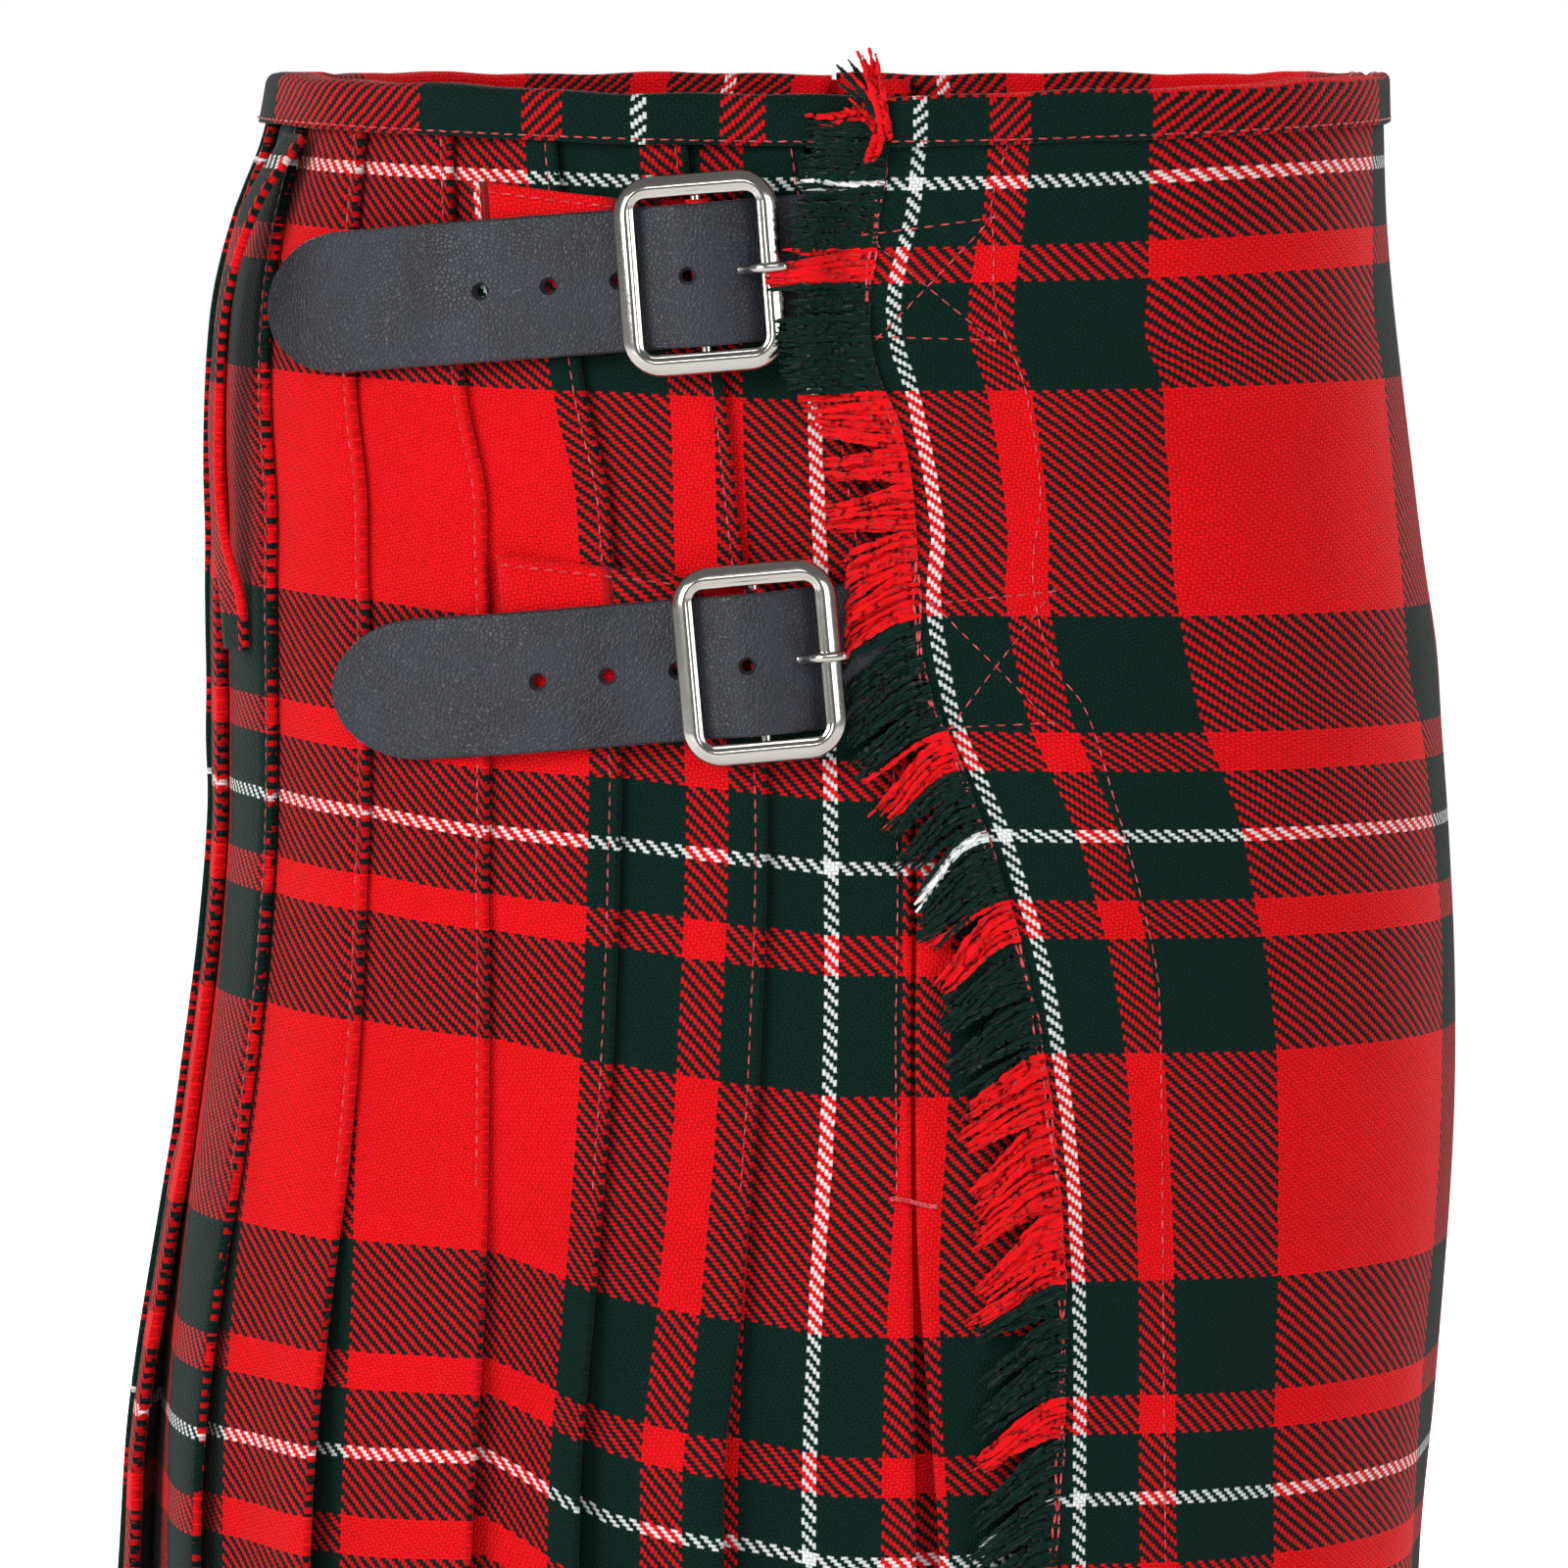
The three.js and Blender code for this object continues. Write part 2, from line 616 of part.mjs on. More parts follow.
function strapStations(fastener) {
  const list = [];
  for (let i = 0; i < 6; i += 1) {
    list.push(fastener.back + STRAP.tip * (1 - Math.cos((i * Math.PI) / 12)));
  }
  const bends = STRAP_TURN.map((p) => p.u).filter((u) => u < 20);
  list.push(fastener.back + STRAP.tip, -80, -73, ...bends.slice(1, 3), -59, -46, -40, -34, -27);
  list.push(...bends.slice(3), 24, fastener.front);
  if (fastener.front > 40) list.push(34, 44, 54);
  return list.filter((u) => u <= fastener.front).sort((a, b) => a - b);
}

function strap(fastener) {
  const stations = strapStations(fastener);
  const rows = [-1, -0.5, 0, 0.5, 1];
  const side = (offset) => rows.map((row) => stations.map((u) => {
    const d = columnAt(STRAP_TURN, 'u', u, 'd') + offset;
    return onFastener(fastener, u, row * strapHalfWidthAt(fastener, u), d);
  }));
  let solid = toManifold(wallBetween(side(STRAP.wall * HALF), side(-STRAP.wall * HALF)));
  const matrix = fastenerMatrix(fastener);
  const passage = tongueRod(fastener.side, TONGUE.clear);
  passage.applyMatrix4(matrix);
  solid = solid.subtract(toManifold(passage));
  for (const i of STRAP_HOLES.slice(1)) {
    const u = TONGUE_HOLE - i * STRAP.pitch;
    const drill = new THREE.CylinderGeometry(STRAP.hole, STRAP.hole, 14, 12);
    const from = onFastener(fastener, u, 0, -1);
    const to = onFastener(fastener, u, 0, 13);
    const turn = new THREE.Quaternion();
    turn.setFromUnitVectors(new THREE.Vector3(0, 1, 0), to.clone().sub(from).normalize());
    drill.applyQuaternion(turn);
    const middle = from.add(to).multiplyScalar(HALF);
    drill.translate(middle.x, middle.y, middle.z);
    solid = solid.subtract(toManifold(drill));
  }
  return fromManifold(solid);
}

// A strip of cloth that lies on the pleats and turns round the buckle's bar.
function tab(fastener) {
  const w = TAB.wall * HALF;
  const far = fastener.tab[fastener.tab.length - 1].u;
  const level = TAB.low + w;
  const course = [far, far * 0.75, far * 0.5, far * 0.25, -3].map((u) => ({ u, d: level, a: -90 }));
  for (const a of [-90, -45, 0, 45, 90, 135]) {
    const u = TAB.eye * Math.cos(a * RAD);
    const d = FRAME.barLevel + TAB.eye * Math.sin(a * RAD);
    course.push({ u, d, a });
  }
  const rows = [0, 0.25, 0.5, 0.75, 1];
  const side = (offset) => rows.map((row) => course.map((p) => {
    const top = columnAt(fastener.tab, 'u', Math.min(p.u, 0), 'top');
    const v = TAB_BOTTOM + row * (top - TAB_BOTTOM);
    const u = p.u + offset * Math.cos(p.a * RAD);
    return onFastener(fastener, u, v, p.d + offset * Math.sin(p.a * RAD));
  }));
  const solid = toManifold(wallBetween(side(w), side(-w)));
  const slot = new THREE.BoxGeometry(7.6, 2 * TAB.slot, 12);
  slot.translate(0, 0, FRAME.barLevel);
  slot.applyMatrix4(fastenerMatrix(fastener));
  return fromManifold(solid.subtract(toManifold(slot)));
}

function addFasteners() {
  for (const fastener of FASTENERS) {
    const matrix = fastenerMatrix(fastener);
    add(`strap_${fastener.name}`, strap(fastener), LEATHER);
    add(`tab_${fastener.name}`, tab(fastener), RED_CLOTH);
    const frame = add(`buckle_${fastener.name}`, buckleFrame(), NICKEL);
    const pin = add(`tongue_${fastener.name}`, tongue(fastener.side), NICKEL);
    for (const mesh of [frame, pin]) {
      matrix.decompose(mesh.position, mesh.quaternion, mesh.scale);
    }
  }
}

// Distance along the plan to the place on the back that lies x from the middle.
function backPlace(z, x) {
  const { points } = planAt(z);
  const half = points.slice(0, PLAN_SAMPLES / 2);
  return half.find((p) => p.x > x).length;
}

function addBeltLoops() {
  for (const [name, side] of [['belt_loop_right', -1], ['belt_loop_left', 1]]) {
    const middle = (z) => {
      const near = backPlace(z, -LOOP.from);
      return side === -1 ? near : planAt(z).left - near;
    };
    const grid = (offset) => LOOP_LINE.map((p) => [-1, 1].map((row) => (
      onForm(p.z, middle(p.z) + row * LOOP.half, p.d + row * side * p.lean + offset)
    )));
    const w = LOOP.wall * HALF;
    add(name, wallBetween(grid(w), grid(-w)), RED_CLOTH);
  }
}

addCloth();
addWaistband();
addFringe();
addFasteners();
addBeltLoops();

export default garment;
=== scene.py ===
"""Looks of a pleated tartan kilt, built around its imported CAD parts.

Lengths are millimetres in the tables and metres in the meshes. The front faces
-Y, the wearer's right hip faces -X and the waist is at the origin. A place on
the cloth is given by its height z, by s along the plan curve from the right
side line round the back, and by d outwards from that curve.
"""

import logging
import math
from dataclasses import dataclass, field
from enum import Enum
from typing import Callable, Sequence

import bpy
import numpy as np
from mathutils import Matrix, Vector

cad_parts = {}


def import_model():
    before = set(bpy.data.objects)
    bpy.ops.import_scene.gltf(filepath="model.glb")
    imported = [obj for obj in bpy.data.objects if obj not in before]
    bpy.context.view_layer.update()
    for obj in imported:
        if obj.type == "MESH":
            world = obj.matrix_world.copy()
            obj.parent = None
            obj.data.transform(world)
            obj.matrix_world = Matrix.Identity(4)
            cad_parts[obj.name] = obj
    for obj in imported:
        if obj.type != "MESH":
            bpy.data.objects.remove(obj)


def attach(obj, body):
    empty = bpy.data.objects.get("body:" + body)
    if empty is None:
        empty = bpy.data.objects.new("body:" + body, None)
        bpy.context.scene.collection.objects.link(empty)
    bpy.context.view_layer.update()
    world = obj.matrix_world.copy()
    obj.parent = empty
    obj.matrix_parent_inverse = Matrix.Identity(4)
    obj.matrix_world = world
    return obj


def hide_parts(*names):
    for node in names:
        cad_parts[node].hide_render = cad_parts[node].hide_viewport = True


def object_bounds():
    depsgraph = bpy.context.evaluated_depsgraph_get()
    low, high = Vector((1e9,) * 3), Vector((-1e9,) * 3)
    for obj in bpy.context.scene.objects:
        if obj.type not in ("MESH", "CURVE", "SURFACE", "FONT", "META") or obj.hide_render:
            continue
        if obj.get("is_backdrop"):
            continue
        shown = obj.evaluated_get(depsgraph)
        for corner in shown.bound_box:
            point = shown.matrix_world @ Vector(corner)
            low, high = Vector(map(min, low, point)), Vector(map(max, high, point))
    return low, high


LOG = logging.getLogger("kilt")
MM = 0.001
MATH, MIX, NOISE = "ShaderNodeMath", "ShaderNodeMix", "ShaderNodeTexNoise"
RAMP, BUMP, VECTOR = "ShaderNodeValToRGB", "ShaderNodeBump", "ShaderNodeVectorMath"
# Settings of a mix node that multiplies two colours.
MULTIPLY = {"data_type": "RGBA", "blend_type": "MULTIPLY", "out": 2}
Array = np.ndarray
Table = Sequence[Sequence[float]]


class Side(Enum):
    """The hip that a fastening sits on."""

    RIGHT = 1
    LEFT = -1


class Lay(Enum):
    """How a sheet of cloth is held."""

    HUNG = "hung"
    FOLDED = "folded"
    STRETCHED = "stretched"


# ---------------------------------------------------------------- numbers


def smooth(table: Table, column: int, at: Array | float) -> Array:
    """Smooth value of one column of a table whose first column is the key.

    Args:
        table: rows sorted by their first value, rising or falling.
        column: the column to read.
        at: the keys to read it at.

    Returns:
        One value for each key.
    """
    rows = np.asarray(table, float)
    if rows[0, 0] > rows[-1, 0]:
        rows = rows[::-1]
    k, v = rows[:, 0], rows[:, column]
    at = np.clip(np.asarray(at, float), k[0], k[-1])
    i = np.clip(np.searchsorted(k, at, side="right") - 1, 0, len(k) - 2)
    n = np.arange(len(k))
    low, high = np.maximum(n - 1, 0), np.minimum(n + 1, len(k) - 1)
    slope = (v[high] - v[low]) / (k[high] - k[low])
    span = k[i + 1] - k[i]
    t = (at - k[i]) / span
    start = (2 * t**3 - 3 * t**2 + 1) * v[i] + (t**3 - 2 * t**2 + t) * span * slope[i]
    end = (3 * t**2 - 2 * t**3) * v[i + 1] + (t**3 - t**2) * span * slope[i + 1]
    return start + end


def ease(value: Array | float, none: float, full: float) -> Array:
    """A soft step from 0 at none to 1 at full."""
    t = np.clip((np.asarray(value, float) - none) / (full - none), 0, 1)
    return t * t * (3 - 2 * t)


def beyond(at: Array, keys: Sequence[float], values: Sequence[float], slope: float) -> Array:
    """Straight-line value between keys, carried on at a fixed slope outside them.

    Args:
        at: where to read.
        keys: rising keys.
        values: the value at each key.
        slope: the slope outside the keys.

    Returns:
        One value for each place.
    """
    inside = np.interp(at, keys, values)
    under = np.minimum(at - keys[0], 0) * slope
    over = np.maximum(at - keys[-1], 0) * slope
    return inside + under + over


def linear(code: str) -> tuple[float, float, float, float]:
    """Linear colour of an sRGB hex code."""
    parts = [int(code[i : i + 2], 16) / 255 for i in (1, 3, 5)]
    low = [p / 12.92 if p <= 0.04045 else ((p + 0.055) / 1.055) ** 2.4 for p in parts]
    return (low[0], low[1], low[2], 1.0)


# ---------------------------------------------------------------- form


@dataclass
class Ring:
    """The plan curve at one height."""

    x: Array
    y: Array
    run: Array
    side: float
    front: float
    back: float

    @property
    def total(self) -> float:
        """Length once round."""
        return float(self.run[-1])

    @property
    def left(self) -> float:
        """Distance along to the left side line."""
        return float(self.run[len(self.run) // 2])


@dataclass
class Form:
    """The filled-out body of the garment."""

    plan: Table = (
        (45, 112, 126.2, 131),
        (30, 112.6, 126.6, 134),
        (10, 113.5, 127.4, 141.5),
        (-12, 114.5, 129.4, 146.5),
        (-50, 116, 134.1, 148.4),
        (-87, 117.5, 138.7, 148),
        (-125, 118.8, 142.5, 147.6),
        (-160, 120, 144.6, 150.4),
        (-205, 121.5, 144.9, 156.5),
        (-267, 123.5, 141.3, 164.4),
        (-315, 125, 137.6, 167),
        (-440, 130, 137.1, 174),
        (-565, 135, 140.6, 180),
    )
    folds: Table = (
        (45, 7, 33, 62.5, 88.5, 114, 2),
        (29, 5, 32, 62, 88, 114, 4),
        (-25, -4, 24, 55.6, 84, 113, 10),
        (-53, -8, 21, 50, 79, 110, 14),
        (-112, -17.5, 14.7, 47.5, 78.5, 109.5, 20),
        (-178, -18, 16, 49.5, 78.5, 112, 22),
        (-232, -18.5, 20, 53.4, 79, 117, 22),
        (-276, -19, 24, 56.5, 81, 120, 22),
        (-565, -22, 20, 57, 92, 128, 24),
    )
    edge: Table = (
        (45, -13),
        (14, -9),
        (-13, -7.5),
        (-40, -15.5),
        (-73, -18.3),
        (-90, -19.7),
        (-111, -28),
        (-149, -40.5),
        (-190, -48),
        (-240, -51),
        (-315, -48),
        (-565, -48),
    )
    roundness: float = 2.6
    samples: int = 720
    pleats: int = 15
    hidden: float = 0.72
    step: float = 1.55
    top: float = 43.4
    hem: float = -565.0
    fell: float = -207.0
    sag: float = 5.0
    sag_reach: float = 190.0
    sag_levels: tuple[float, float] = (-60.0, 28.0)
    rings: dict[float, Ring] = field(default_factory=dict)

    def ring(self, z: float) -> Ring:
        """The plan curve at a height, kept for the next time."""
        key = round(float(z) * 4) / 4
        if key not in self.rings:
            side, front, back = (float(smooth(self.plan, c, key)) for c in (1, 2, 3))
            turn = np.linspace(0, 2 * math.pi, self.samples + 1)
            c, k = np.cos(turn), np.sin(turn)
            power = 2 / self.roundness
            x = -side * np.sign(c) * np.abs(c) ** power
            y = np.where(k < 0, front, back) * np.sign(k) * np.abs(k) ** power
            run = np.concatenate([[0], np.cumsum(np.hypot(np.diff(x), np.diff(y)))])
            self.rings[key] = Ring(x, y, run, side, front, back)
        return self.rings[key]

    def points(self, z: Array, s: Array, d: Array, sagged: bool = True) -> Array:
        """Points on the form.

        Args:
            z: heights.
            s: distances along the plan curve.
            d: distances outwards.
            sagged: whether the sag of the top edge is added.

        Returns:
            An array of the same shape with x, y and z last.
        """
        z, s, d = np.broadcast_arrays(*(np.asarray(v, float) for v in (z, s, d)))
        shape = z.shape
        z, s, d = z.ravel(), s.ravel(), d.ravel()
        out = np.zeros((len(z), 3))
        keys = np.round(z * 4) / 4
        for key in np.unique(keys):
            at = np.flatnonzero(keys == key)
            ring = self.ring(key)
            along = np.mod(s[at], ring.total)
            x = np.interp(along, ring.run, ring.x)
            y = np.interp(along, ring.run, ring.y)
            depth = np.where(y < 0, ring.front, ring.back)
            power = self.roundness - 1
            nx = np.sign(x) * np.abs(x / ring.side) ** power / ring.side
            ny = np.sign(y) * np.abs(y / depth) ** power / depth
            size = np.hypot(nx, ny)
            drop = 0.0
            if sagged:
                away = np.minimum(np.minimum(along, ring.total - along) / self.sag_reach, 1)
                part = ease(key, *self.sag_levels)
                drop = self.sag * 0.5 * (1 + np.cos(math.pi * away)) * part
            out[at] = np.stack([x + d[at] * nx / size, y + d[at] * ny / size, z[at] - drop], -1)
        return out.reshape(*shape, 3)

    def along(self, z: float, y: float) -> float:
        """Signed distance along the plan, near the right hip, of a place at depth y."""
        ring = self.ring(z)
        if y >= 0:
            half = slice(0, self.samples // 4 + 1)
            return float(np.interp(y, ring.y[half], ring.run[half]))
        half = slice(3 * self.samples // 4, self.samples + 1)
        return float(np.interp(y, ring.y[half], ring.run[half]) - ring.total)

    def fold(self, z: float, i: int) -> float:
        """Place of the outer fold of pleat i."""
        if i <= 4:
            return float(smooth(self.folds, 1 + i, z))
        fourth = float(smooth(self.folds, 5, z))
        last = self.ring(z).left + float(smooth(self.folds, 6, z))
        return fourth + (last - fourth) * (i - 4) / (self.pleats - 4)

    def reveal(self, z: float, i: int) -> float:
        """Width of pleat i that shows."""
        i = min(i, self.pleats - 1)
        return self.fold(z, i + 1) - self.fold(z, i)

    def inner(self, z: float, i: int) -> float:
        """Place of the inner fold behind fold i."""
        return self.fold(z, i) + self.hidden * self.reveal(z, i)

    def edge_at(self, z: float) -> float:
        """Place of the fringed edge, as a negative distance."""
        return float(smooth(self.edge, 1, z))

    def levels(self, fine: float, coarse: float) -> Array:
        """Heights of the rows of a sheet, close together above and wider apart below."""
        upper = np.arange(self.top, -300, -fine)
        lower = np.linspace(upper[-1] - coarse, self.hem, int((upper[-1] - self.hem) / coarse))
        return np.concatenate([upper, lower])


# ---------------------------------------------------------------- meshes


def add_object(name: str, data: bpy.types.ID) -> bpy.types.Object:
    """A new object in the scene."""
    made = bpy.data.objects.new(name, data)
    bpy.context.scene.collection.objects.link(made)
    return made


def mesh_object(
    name: str,
    points: Array,
    faces: Sequence[Sequence[int]] | Array,
    uv: Array | None = None,
    tags: Array | None = None,
) -> bpy.types.Object:
    """A smooth mesh object from points in millimetres.

    Args:
        name: the object's name.
        points: points, with x, y and z last.
        faces: corner numbers of each face.
        uv: thread and height of each point, written to the map "Weave".
        tags: material number of each face.

    Returns:
        The new object, linked to the scene.
    """
    mesh = bpy.data.meshes.new(name)
    flat = np.asarray(points, float).reshape(-1, 3) * MM
    listed = faces.tolist() if isinstance(faces, np.ndarray) else list(faces)
    mesh.from_pydata(flat.tolist(), [], listed)
    if uv is not None:
        corners = np.zeros(len(mesh.loops), np.int32)
        mesh.loops.foreach_get("vertex_index", corners)
        layer = mesh.uv_layers.new(name="Weave")
        values = np.asarray(uv, float).reshape(-1, 2)[corners]
        layer.uv.foreach_set("vector", values.astype(np.float32).ravel())
    if tags is not None:
        mesh.polygons.foreach_set("material_index", np.asarray(tags, np.int32))
    mesh.polygons.foreach_set("use_smooth", np.ones(len(mesh.polygons), bool))
    mesh.update()
    return add_object(name, mesh)


def wall_faces(rows: int, columns: int) -> Array:
    """Faces of a closed wall between a face grid and a back grid.

    Args:
        rows: rows of each grid.
        columns: columns of each grid.

    Returns:
        Four corner numbers for each face, turned outwards.
    """
    f, b = np.arange(2 * rows * columns).reshape(2, rows, columns)
    parts = [
        np.stack([f[:-1, :-1], f[:-1, 1:], f[1:, 1:], f[1:, :-1]], -1).reshape(-1, 4),
        np.stack([b[:-1, :-1], b[1:, :-1], b[1:, 1:], b[:-1, 1:]], -1).reshape(-1, 4),
        np.stack([f[0, 1:], f[0, :-1], b[0, :-1], b[0, 1:]], -1),
        np.stack([f[-1, :-1], f[-1, 1:], b[-1, 1:], b[-1, :-1]], -1),
        np.stack([f[:-1, 0], f[1:, 0], b[1:, 0], b[:-1, 0]], -1),
        np.stack([f[1:, -1], f[:-1, -1], b[:-1, -1], b[1:, -1]], -1),
    ]
    return np.concatenate(parts)


def cloth_wall(name: str, middle: Array, uv: Array, wall: float) -> bpy.types.Object:
    """A wall of cloth round a grid of points at the middle of its thickness.

    Args:
        name: the object's name.
        middle: rows by columns of points; rows run down, columns run to the back.
        uv: thread and height of each point.
        wall: the cloth's thickness.

    Returns:
        The new object.
    """
    across = np.gradient(middle, axis=1)
    down = np.gradient(middle, axis=0)
    normal = np.cross(across, down)
    normal /= np.linalg.norm(normal, axis=-1, keepdims=True) + 1e-9
    grid = np.stack([middle + normal * wall / 2, middle - normal * wall / 2])
    faces = wall_faces(middle.shape[0], middle.shape[1])
    wide = np.linalg.norm(np.diff(middle, axis=1), axis=-1).sum(1).mean()
    high = np.linalg.norm(np.diff(middle, axis=0), axis=-1).sum(0).mean()
    LOG.info("%s: %.1f by %.1f mm", name, wide, high)
    return mesh_object(name, grid, faces, np.stack([uv, uv]))


def tube(line: Array, radius: Array | float, sides: int) -> tuple[Array, list[list[int]]]:
    """Points and faces of a round tube with closed ends along a line.

    Args:
        line: points of the centreline.
        radius: one radius, or one for each point.
        sides: sides of the section.

    Returns:
        Points and faces.
    """
    line = np.asarray(line, float)
    radius = np.broadcast_to(np.asarray(radius, float), (len(line),))
    tangent = np.gradient(line, axis=0)
    tangent /= np.linalg.norm(tangent, axis=1, keepdims=True)
    guide = (0.0, 0.0, 1.0) if abs(tangent[0, 2]) < 0.9 else (1.0, 0.0, 0.0)
    first = np.cross(tangent, guide)
    first /= np.linalg.norm(first, axis=1, keepdims=True)
    second = np.cross(tangent, first)
    turn = np.linspace(0, 2 * math.pi, sides, endpoint=False)[None, :, None]
    ring = np.cos(turn) * first[:, None] + np.sin(turn) * second[:, None]
    points = (line[:, None] + ring * radius[:, None, None]).reshape(-1, 3)
    return points, ring_faces(len(line), sides)


def joined(parts: Sequence[tuple[Array, list[list[int]]]]) -> tuple[Array, list[list[int]]]:
    """Points and faces of several parts as one."""
    points, faces = [], []
    for some, corners in parts:
        faces += [[len(points) + c for c in face] for face in corners]
        points += list(some)
    return np.array(points), faces


def ring_faces(rows: int, sides: int, closed: bool = False) -> list[list[int]]:
    """Faces of a tube whose rings have the same number of points.

    Args:
        rows: number of rings.
        sides: points in each ring.
        closed: whether the last ring joins the first; if not, both ends are capped.

    Returns:
        Corner numbers of each face.
    """
    faces = []
    for r in range(rows if closed else rows - 1):
        a, b = r * sides, ((r + 1) % rows) * sides
        for c in range(sides):
            n = (c + 1) % sides
            faces.append([a + c, a + n, b + n, b + c])
    if not closed:
        faces.append(list(range(sides))[::-1])
        faces.append([(rows - 1) * sides + c for c in range(sides)])
    return faces


def applied(made: bpy.types.Object, modifier: bpy.types.Modifier) -> bpy.types.Mesh:
    """The mesh that a modifier makes; the modifier is removed."""
    deps = bpy.context.evaluated_depsgraph_get()
    mesh = bpy.data.meshes.new_from_object(made.evaluated_get(deps))
    made.modifiers.remove(modifier)
    return mesh


def point_outwards(made: bpy.types.Object) -> None:
    """Turns the faces of a closed mesh outwards."""
    mesh = made.data
    count = len(mesh.vertices)
    points = np.zeros(count * 3, np.float32)
    mesh.vertices.foreach_get("co", points)
    points = points.reshape(-1, 3)
    total = 0.0
    for polygon in mesh.polygons:
        corners = [points[i] for i in polygon.vertices]
        for a, b in zip(corners[1:-1], corners[2:]):
            total += float(np.dot(corners[0], np.cross(a, b)))
    if total < 0:
        mesh.flip_normals()


def finish_piece(
    made: bpy.types.Object, materials: Sequence[bpy.types.Material], slot: str, nodes: Sequence[str]
) -> bpy.types.Object:
    """Dresses a piece and ties it to the frame.

    Args:
        made: the piece.
        materials: its materials, in slot order.
        slot: the record's material slot.
        nodes: the CAD nodes that it stands for.

    Returns:
        The same piece.
    """
    made.name = made.name.split(".")[0] + ("_cloth" if "wool" in slot and nodes else "_detail")
    made.data.materials.clear()
    for material in materials:
        made.data.materials.append(material)
    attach(made, "root")
    if nodes:
        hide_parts(*nodes)
    LOG.info("%s: %d faces", made.name, len(made.data.polygons))
    return made


# ---------------------------------------------------------------- shader graphs


class Graph:
    """A node tree whose nodes are added by nested calls."""

    def __init__(self, tree: bpy.types.NodeTree) -> None:
        """Keeps the tree."""
        self.tree = tree

    def add(self, kind: str, *feeds: object, out: int | str = 0, **settings: object) -> object:
        """Adds a node with its settings and links.

        Args:
            kind: the node's type.
            feeds: sockets or values for its inputs in order, or one dict of them.
            out: the output that is wanted.
            settings: the node's own settings; stops fills a colour ramp.

        Returns:
            The wanted output, or the node if it has none.
        """
        node = self.tree.nodes.new(kind)
        stops = settings.pop("stops", ())
        for key, value in settings.items():
            setattr(node, key, value)
        listed = feeds[0] if feeds and isinstance(feeds[0], dict) else dict(enumerate(feeds))
        for key, value in listed.items():
            if isinstance(value, bpy.types.NodeSocket):
                self.tree.links.new(value, node.inputs[key])
            else:
                node.inputs[key].default_value = value
        for k, (place, colour) in enumerate(stops):
            if k >= len(node.color_ramp.elements):
                node.color_ramp.elements.new(1.0)
            node.color_ramp.elements[k].position = place
            node.color_ramp.elements[k].color = colour
        return node.outputs[out] if node.outputs else node

    def link(self, node: bpy.types.Node, **sockets: bpy.types.NodeSocket) -> None:
        """Links sockets to the inputs of a node that they name."""
        for key, socket in sockets.items():
            self.tree.links.new(socket, node.inputs[key.replace("_", " ")])


def new_material(
    name: str, **values: object
) -> tuple[bpy.types.Material, Graph, bpy.types.Node, bpy.types.NodeSocket]:
    """An empty material.

    Args:
        name: its name.
        values: plain values of the principled shader's inputs.

    Returns:
        The material, its graph, its principled shader and its Object coordinates.
    """
    material = bpy.data.materials.new(name)
    material.use_nodes = True
    graph = Graph(material.node_tree)
    shader = material.node_tree.nodes["Principled BSDF"]
    for key, value in values.items():
        shader.inputs[key.replace("_", " ")].default_value = value
    return material, graph, shader, graph.add("ShaderNodeTexCoord", out="Object")


@dataclass(frozen=True)
class Sett:
    """The thread count of the tartan, mirrored at both ends.

    White line, green, red line, green and broad red: 4, 18, 12, 36 and 72
    threads across the whole of the white and the broad red.
    """

    red: str = "#EA1018"
    green: str = "#092620"
    white: str = "#F0F5F2"
    half: float = 104.0
    weft: float = 0.7476
    line: float = 25.0

    def group(self) -> bpy.types.NodeTree:
        """A node group that gives the colour of a numbered thread."""
        found = bpy.data.node_groups.get("Sett")
        if found:
            return found
        tree = bpy.data.node_groups.new("Sett", "ShaderNodeTree")
        tree.interface.new_socket("Thread", in_out="INPUT", socket_type="NodeSocketFloat")
        tree.interface.new_socket("Colour", in_out="OUTPUT", socket_type="NodeSocketColor")
        g = Graph(tree)
        middle = g.add(MATH, g.add("NodeGroupInput"), operation="FLOOR")
        middle = g.add(MATH, middle, 0.5, operation="ADD")
        place = g.add(MATH, middle, self.half, operation="PINGPONG")
        place = g.add(MATH, place, self.half, operation="DIVIDE")
        red, green, white = (linear(c) for c in (self.red, self.green, self.white))
        changes = ((0, white), (2, green), (20, red), (32, green), (68, red))
        colour = g.add(RAMP, place, stops=[(p / self.half, c) for p, c in changes])
        colour.node.color_ramp.interpolation = "CONSTANT"
        g.add("NodeGroupOutput", colour)
        return tree


